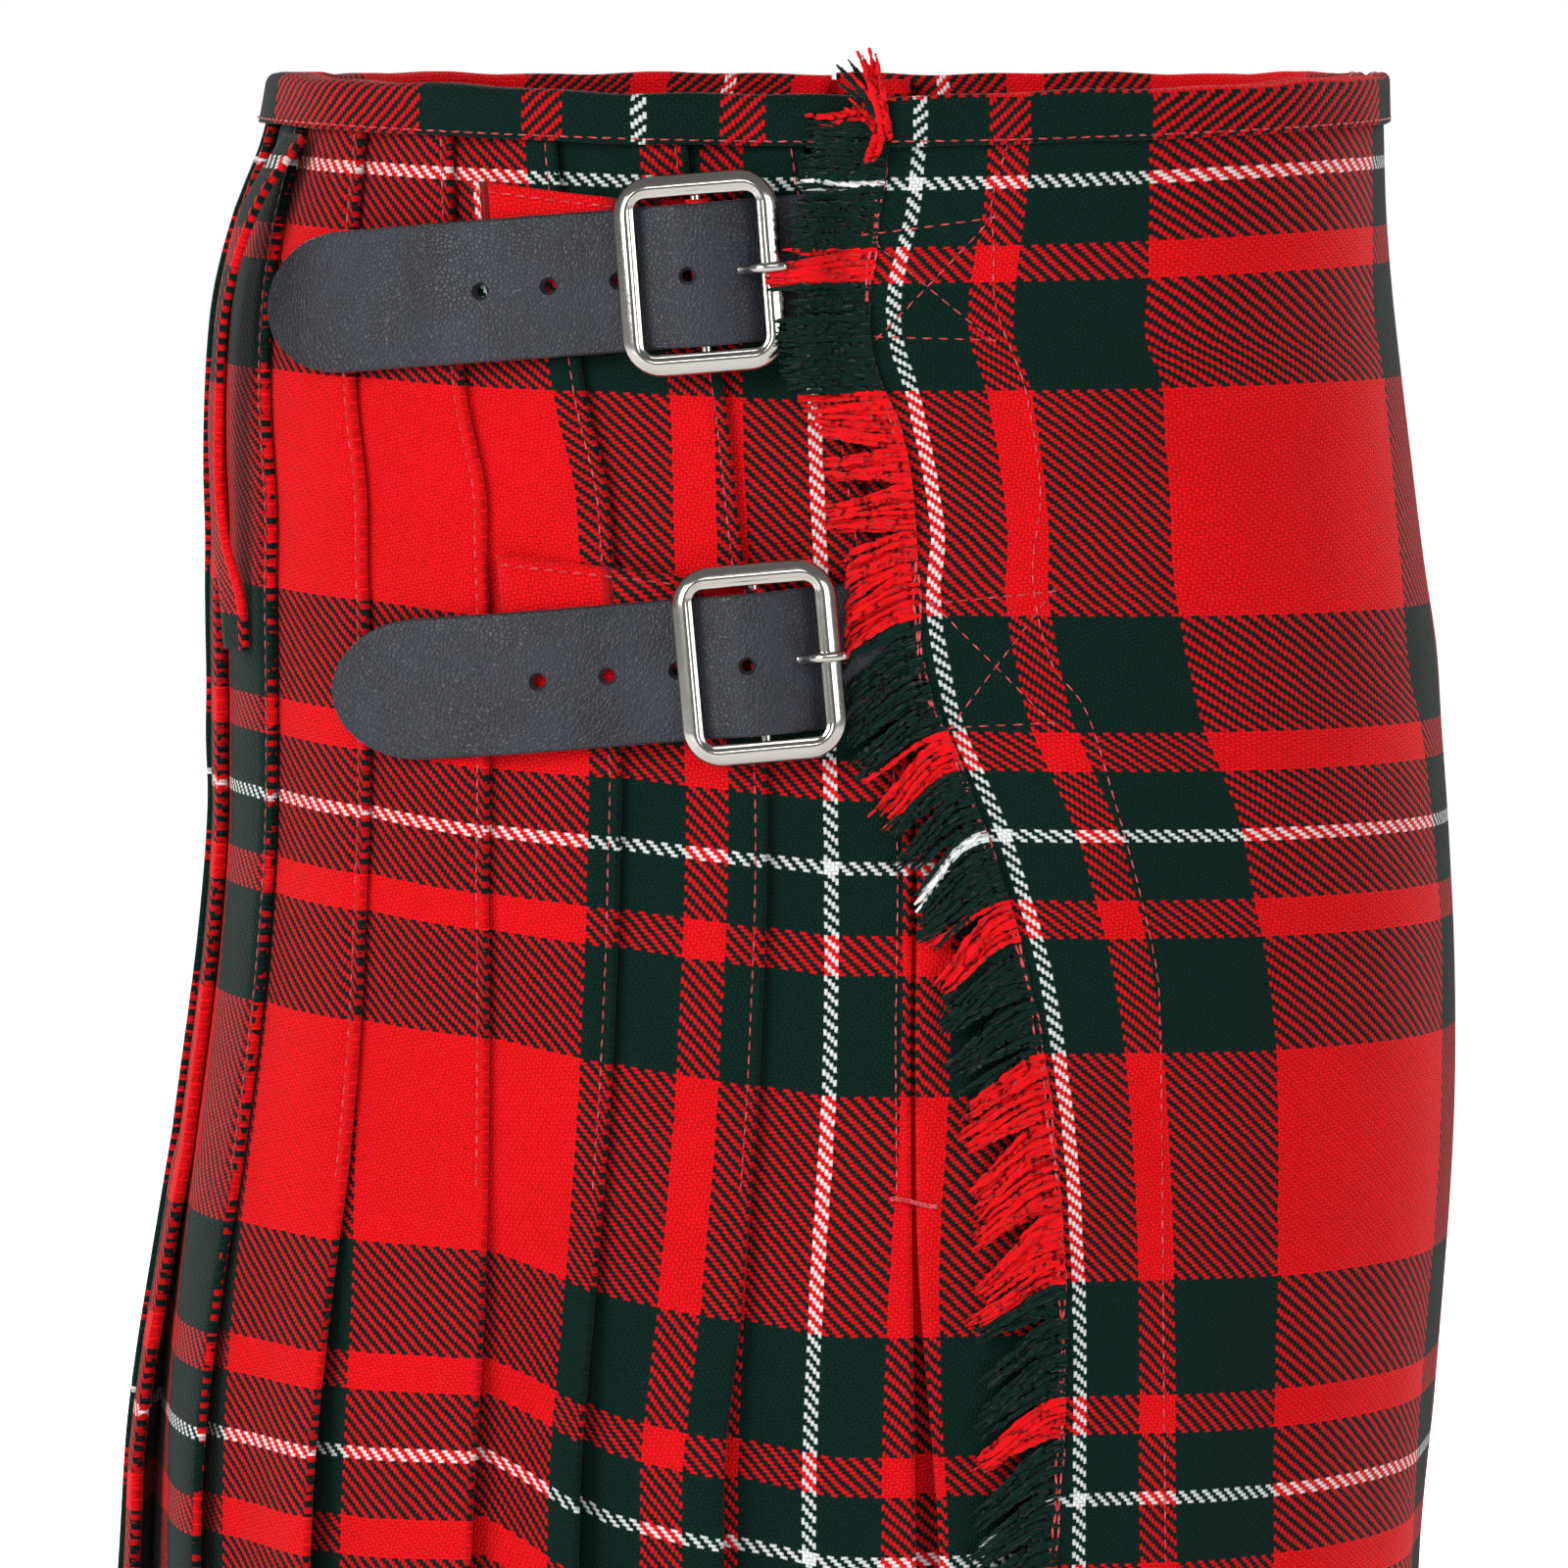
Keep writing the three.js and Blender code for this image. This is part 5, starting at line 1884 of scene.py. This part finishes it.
@dataclass
class Tongue:
    """The buckle's tongue: a bent rod with a ring round the centre bar."""

    place: Fastening
    radius: float = 1.2
    tip: float = 1.05
    ring_out: float = 2.75
    ring_in: float = 1.6
    ring_half: float = 1.5
    bar_level: float = 3.85
    line: Table = (
        (2.2, 4.5),
        (5, 4.6),
        (8, 4.8),
        (10.5, 6.2),
        (12.5, 8.5),
        (14.2, 9.6),
        (16, 9.8),
        (18, 9.7),
        (19.6, 9.4),
    )

    def build(self, finishes: Finishes) -> bpy.types.Object:
        """Builds and dresses the tongue."""
        name = f"tongue_{self.place.name}"
        keys = np.linspace(self.line[0][0], self.line[-1][0], 26)
        height = smooth(self.line, 1, keys)
        rod = np.stack([keys, 0 * keys, height], -1)
        size = np.where(keys > keys[-1] - 1, self.tip, self.radius)
        thick = (self.ring_out - self.ring_in) / 2
        middle = (self.ring_out + self.ring_in) / 2
        a = np.linspace(0, 2 * math.pi, 24, endpoint=False)[:, None]
        b = np.linspace(0, 2 * math.pi, 10, endpoint=False)
        r = middle + thick * np.cos(b)
        across = self.ring_half * np.sin(b) + 0 * a
        ring = np.stack([r * np.cos(a), across, self.bar_level + r * np.sin(a)], -1).reshape(-1, 3)
        parts = [tube(rod, size, 14), (ring, ring_faces(24, 10, closed=True))]
        points, faces = joined(parts)
        made = mesh_object(name, self.place.carry(points), faces)
        point_outwards(made)
        return finish_piece(made, [finishes.nickel], "nickel_plate", [name])


@dataclass
class BeltLoop:
    """A folded strip of tartan on the back that a belt goes through."""

    form: Form
    name: str
    side: Side
    half: float = 5.5
    wall: float = 1.6
    place: float = 63.0
    thread: float = 64.0
    pitch: float = 0.81
    course: Table = (
        (31.4, 1.9, 0),
        (27, 3.9, 0.5),
        (17, 6.8, 1.5),
        (0, 7.6, 2),
        (-40, 7.4, 2),
        (-62, 5.6, 1.2),
        (-76, 2.6, 0.2),
        (-88, 1.8, 0),
    )

    def build(self, finishes: Finishes) -> bpy.types.Object:
        """Builds and dresses the loop."""
        f = self.form
        levels = np.linspace(self.course[0][0], self.course[-1][0], 60)
        out = -1 if self.side is Side.RIGHT else 1
        across = np.linspace(-1, 1, 7)
        rows, uv = [], []
        for z in levels:
            ring = f.ring(z)
            half = slice(0, f.samples // 2)
            near = float(np.interp(-self.place, ring.x[half], ring.run[half]))
            middle = near if self.side is Side.RIGHT else ring.left - near
            d = smooth(self.course, 1, z) + across * out * smooth(self.course, 2, z)
            d = d + 0.25 * math.sin(z / 7.0) * across
            rows.append(f.points(np.full(7, z), middle + across * self.half, d))
            threads = self.thread + across * out * self.half / self.pitch
            uv.append(np.stack([threads, np.full(7, z)], -1))
        piece = cloth_wall(self.name, np.array(rows), np.array(uv), self.wall)
        return finish_piece(piece, [finishes.tartan], "tartan_wool", [self.name])


# ---------------------------------------------------------------- sewing


@dataclass
class Sewing:
    """All rows of stitches that show."""

    form: Form
    pleats: Pleats
    aprons: Aprons
    fastenings: Sequence[Fastening]
    band_row: float = 34.6
    second_row: Table = (
        (35, -39.3),
        (20, -35.2),
        (12, -35.8),
        (-4, -36.3),
        (-24, -42.9),
        (-48, -46.2),
        (-68, -44.6),
        (-88, -49.2),
        (-96, -55.8),
        (-113, -61.3),
        (-130, -66.4),
        (-150, -71.4),
        (-163, -73.4),
        (-230, -74.7),
        (-565, -74.7),
    )

    def build(self, finishes: Finishes) -> list[bpy.types.Object]:
        """Builds and dresses the stitches, one piece for each kind of row."""
        tree = stitch_tree()
        rows = (
            ("stitches_edge", self.edge_rows(), 3.1, 3.0, 0.62, 0.16, 3),
            ("stitches_lines", self.plain_rows(), 3.3, 2.5, 0.42, 0.08, 5),
            ("stitches_pleats", self.pleat_rows(), 3.2, 2.5, 0.42, 0.06, 11),
            ("stitches_tacks", self.tacks(), 1.1, 1.5, 0.5, 0.3, 17),
        )
        made = []
        for name, lines, pitch, length, thick, wobble, seed in rows:
            guides = guide_lines(name + "_guides", lines)
            values = {
                "Pitch": pitch * MM,
                "Length": length * MM,
                "Thickness": thick * MM,
                "Wobble": wobble,
                "Seed": seed,
                "Thread": finishes.thread,
            }
            piece = tree.run(name, guides, values)
            piece.data.polygons.foreach_set("use_smooth", np.ones(len(piece.data.polygons), bool))
            made.append(finish_piece(piece, [finishes.thread], "tartan_wool", []))
        return made

    def on_apron(self, z: Array, s: Array, above: float = 0.72) -> Array:
        """Points just on top of the over apron."""
        d = self.aprons.over + sum(c.height(z, s) for c in self.aprons.creases)
        d = d + np.array([float(self.aprons.ripple(a, np.array([b]))[0]) for a, b in zip(z, s)])
        return self.form.points(z, s, d + above)

    def edge_rows(self) -> list[Array]:
        """The doubled row along the fringed edge."""
        z = np.arange(43, self.form.hem + 4, -2.0)
        lines = []
        for shift, phase in ((0.0, 0.0), (0.7, 2.2)):
            s = np.array([self.form.edge_at(k) for k in z]) - 0.4 - shift
            s = s + 0.35 * np.sin(z / 3.1 + phase) + 0.25 * np.sin(z / 7.7 + phase)
            lines.append(self.on_apron(z, s, 0.8))
        return lines

    def plain_rows(self) -> list[Array]:
        """Rows on the over apron, the waistband and round the straps' ends."""
        f = self.form
        z = np.arange(33, f.hem + 4, -3.0)
        lines = [self.on_apron(z, smooth(self.second_row, 1, z))]
        for start, end, step, above in (
            (-14.0, -330.0, -4.0, 5.7 + 0.75),
            (f.fold(35, 0) - 18, f.fold(35, 15) - 4, 4.0, 1.5 + 0.8),
        ):
            s = np.arange(start, end, step)
            lines.append(f.points(self.band_row, s, above))
        for fastening in self.fastenings:
            lines += self.strap_box(fastening)
            u = np.linspace(float(fastening.tab[-1][0]) + 2, -19, 14)
            v = smooth(fastening.tab, 1, u) - 2.0
            lines.append(fastening.points(u, v, 2.7 + 0 * u))
        return lines

    def strap_box(self, fastening: Fastening) -> list[Array]:
        """The sewn box and cross where a strap is fixed behind the apron."""
        if fastening.side is Side.LEFT:
            return []
        corners = {
            "upper": ((-7.5, 13.5), (-35.5, 17.0), (-35.5, -12.0), (-10.5, -11.0)),
            "lower": ((-22.5, -73.5), (-49.0, -71.0), (-49.0, -100.5), (-26.5, -101.5)),
        }[fastening.name]
        lines = []
        for a, b in ((0, 1), (2, 3), (0, 2), (1, 3)):
            s, z = np.linspace(corners[a], corners[b], 12).T
            lines.append(self.on_apron(z, s))
        return lines

    def pleat_rows(self) -> list[Array]:
        """Rows beside each fold, down to the fell."""
        f = self.form
        lines = []
        z = np.arange(32, f.fell, -2.5)
        for i in range(f.pleats):
            inset = 3.4 if i == 0 else self.pleats.groove_at
            points = []
            for k in z:
                s = f.fold(k, i) + inset
                d = float(self.pleats.depth(k, i, np.array([s]))[0])
                d += float(self.pleats.soften(k, i, np.array([s]))[0])
                spot = np.array([k]), np.array([s])
                d += float(sum(c.height(*spot)[0] for c in self.pleats.creases))
                points.append(f.points(k, s, d + 0.62))
            lines.append(np.array(points))
        return lines

    def tacks(self) -> list[Array]:
        """The bar tack at the fell of the first pleat."""
        fell = self.form.fell - 2
        fold = self.form.fold(fell, 0)
        s = np.linspace(fold + 4.5, fold - 5.2, 10)
        wave = fell + 0.9 * np.sin(s / 3.0)
        return [self.form.points(wave + shift, s, 1.9) for shift in (0.0, 0.5)]


# ---------------------------------------------------------------- studio


@dataclass
class Studio:
    """Plain white floor, soft light from both sides and the camera."""

    floor_z: float = -0.567
    eye: tuple[float, float, float] = (-1.892, 0.0106, 0.044)
    aim: tuple[float, float, float] = (0.0, 0.0106, -0.125)
    lens: float = 181.7
    dim: float = 0.17

    def build(self) -> None:
        """Builds the stage, the lights and the camera."""
        size = 14.0
        corners = [(-size, -size), (size, -size), (size, size), (-size, size)]
        points = np.array([(x, y, self.floor_z) for x, y in corners]) / MM
        floor = mesh_object("studio_floor", points, [[0, 1, 2, 3]])
        floor.data.materials.append(StudioPaper().build())
        floor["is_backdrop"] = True
        self.light("key", (-1.5, 1.6, 0.6), 1.2, 35)
        self.light("fill", (-1.7, -1.7, 0.45), 1.1, 16)
        self.light("front", (-2.3, 0.2, 1.5), 0.9, 9)
        self.light("back_left", (1.6, 1.5, 0.8), 1.3, 30)
        self.light("back_right", (1.6, -1.5, 0.8), 1.3, 30)
        bpy.context.scene.world = self.room()
        bpy.context.scene.view_settings.view_transform = "Standard"
        data = bpy.data.cameras.new("camera")
        data.lens = self.lens
        data.sensor_width = 36.0
        data.clip_start, data.clip_end = 0.01, 100.0
        camera = add_object("camera", data)
        self.face(camera, self.eye, self.aim)
        bpy.context.scene.camera = camera

    def room(self) -> bpy.types.World:
        """A room that looks white and lights the garment only a little."""
        world = bpy.data.worlds.new("white room")
        world.use_nodes = True
        g = Graph(world.node_tree)
        shader = world.node_tree.nodes["Background"]
        shader.inputs["Color"].default_value = (1.0, 1.0, 1.0, 1.0)
        seen = g.add("ShaderNodeLightPath", out="Is Camera Ray")
        strength = g.add(MATH, seen, 1.0 - self.dim, self.dim, operation="MULTIPLY_ADD")
        g.link(shader, Strength=strength)
        return world

    def light(
        self, name: str, place: tuple[float, float, float], size: float, power: float
    ) -> None:
        """Adds a square soft light that faces the garment."""
        data = bpy.data.lights.new(name, "AREA")
        data.shape = "SQUARE"
        data.size = size
        data.energy = power
        lamp = add_object(name, data)
        self.face(lamp, place, (0.0, 0.0, -0.15))

    @staticmethod
    def face(thing: bpy.types.Object, place: Sequence[float], aim: Sequence[float]) -> None:
        """Puts a camera or light at a place and turns it to its aim."""
        look = Vector(aim) - Vector(place)
        turn = look.to_track_quat("-Z", "Y").to_matrix().to_4x4()
        thing.matrix_world = Matrix.Translation(Vector(place)) @ turn


# ---------------------------------------------------------------- cut sizes


# Piece, cut width and length in metres, how it is held, what holds it, pieces on it.
SHEETS = (
    ("pleats_right", (0.5, 0.61), Lay.FOLDED, ("waistband_pleats",), ()),
    ("pleats_back", (0.45, 0.61), Lay.FOLDED, ("waistband_pleats",), ()),
    ("pleats_left", (0.43, 0.61), Lay.FOLDED, ("waistband_pleats",), ()),
    (
        "over_apron",
        (0.41, 0.61),
        Lay.HUNG,
        ("waistband_over_apron", "under_apron"),
        ("fringe_cloth",),
    ),
    ("under_apron", (0.388, 0.61), Lay.HUNG, ("waistband_under_apron",), ()),
    (
        "waistband_pleats",
        (0.41, 0.0295),
        Lay.FOLDED,
        ("pleats_right", "pleats_back", "pleats_left"),
        (),
    ),
    ("waistband_over_apron", (0.394, 0.0137), Lay.FOLDED, ("over_apron",), ()),
    ("waistband_under_apron", (0.351, 0.0126), Lay.FOLDED, ("under_apron",), ()),
    ("tab_upper", (0.061, 0.0335), Lay.FOLDED, ("pleats_right", "over_apron"), ()),
    ("tab_lower", (0.067, 0.0355), Lay.FOLDED, ("pleats_right", "over_apron"), ()),
    ("tab_left", (0.061, 0.0335), Lay.FOLDED, ("pleats_left", "over_apron"), ()),
    ("belt_loop_right", (0.0122, 0.1235), Lay.STRETCHED, ("waistband_pleats", "pleats_back"), ()),
    ("belt_loop_left", (0.0122, 0.1245), Lay.STRETCHED, ("waistband_pleats", "pleats_back"), ()),
)


def declare_sheets(pieces: dict[str, bpy.types.Object]) -> None:
    """Looks up the pieces that lie on each sheet of the table, and logs how many sheets there are.

    Args:
        pieces: all pieces by name.
    """
    for name, flat, held, held_by, more in SHEETS:
        list(held_by)
        [pieces[other] for other in more]
    LOG.info("sheets: %d", len(SHEETS))


def main() -> None:
    """Builds every piece in order."""
    logging.basicConfig(level=logging.INFO, format="%(name)s: %(message)s")
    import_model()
    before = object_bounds()
    form = Form()
    weave = Weave(form)
    finishes = Finishes()
    pieces: dict[str, bpy.types.Object] = {}

    def keep(*made: bpy.types.Object) -> None:
        """Keeps pieces by name."""
        for piece in made:
            pieces[piece.name] = piece

    pleats = Pleats(form, weave)
    keep(*pleats.build(finishes))
    aprons = Aprons(form, weave)
    keep(*aprons.build(finishes))
    keep(*Waistbands(form, weave).build(finishes))
    keep(Fringe(form, weave).build(finishes))
    fastenings = (
        Fastening(form, "upper", Side.RIGHT, 29, 0, 4.6, 62, -109),
        Fastening(
            form,
            "lower",
            Side.RIGHT,
            16,
            -87,
            5.2,
            64,
            -101,
            tab=((0, 16.8), (-19, 21.6), (-57, 29)),
            tab_threads=LOWER_TAB_THREADS,
            tab_weft=-36.0,
        ),
        Fastening(form, "left", Side.LEFT, 29, 0, 4.6, 27, -109),
    )
    for place in fastenings:
        keep(Tab(place).build(finishes))
        keep(Strap(place).build(finishes))
        keep(Buckle(place).build(finishes))
        keep(Tongue(place).build(finishes))
    for side in Side:
        keep(BeltLoop(form, f"belt_loop_{side.name.lower()}", side).build(finishes))
    keep(*Sewing(form, pleats, aprons, fastenings).build(finishes))
    declare_sheets(pieces)
    Studio().build()
    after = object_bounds()
    sizes = [[list(map(float, corner)) for corner in each] for each in (before, after)]


if __name__ == "__main__":
    main()
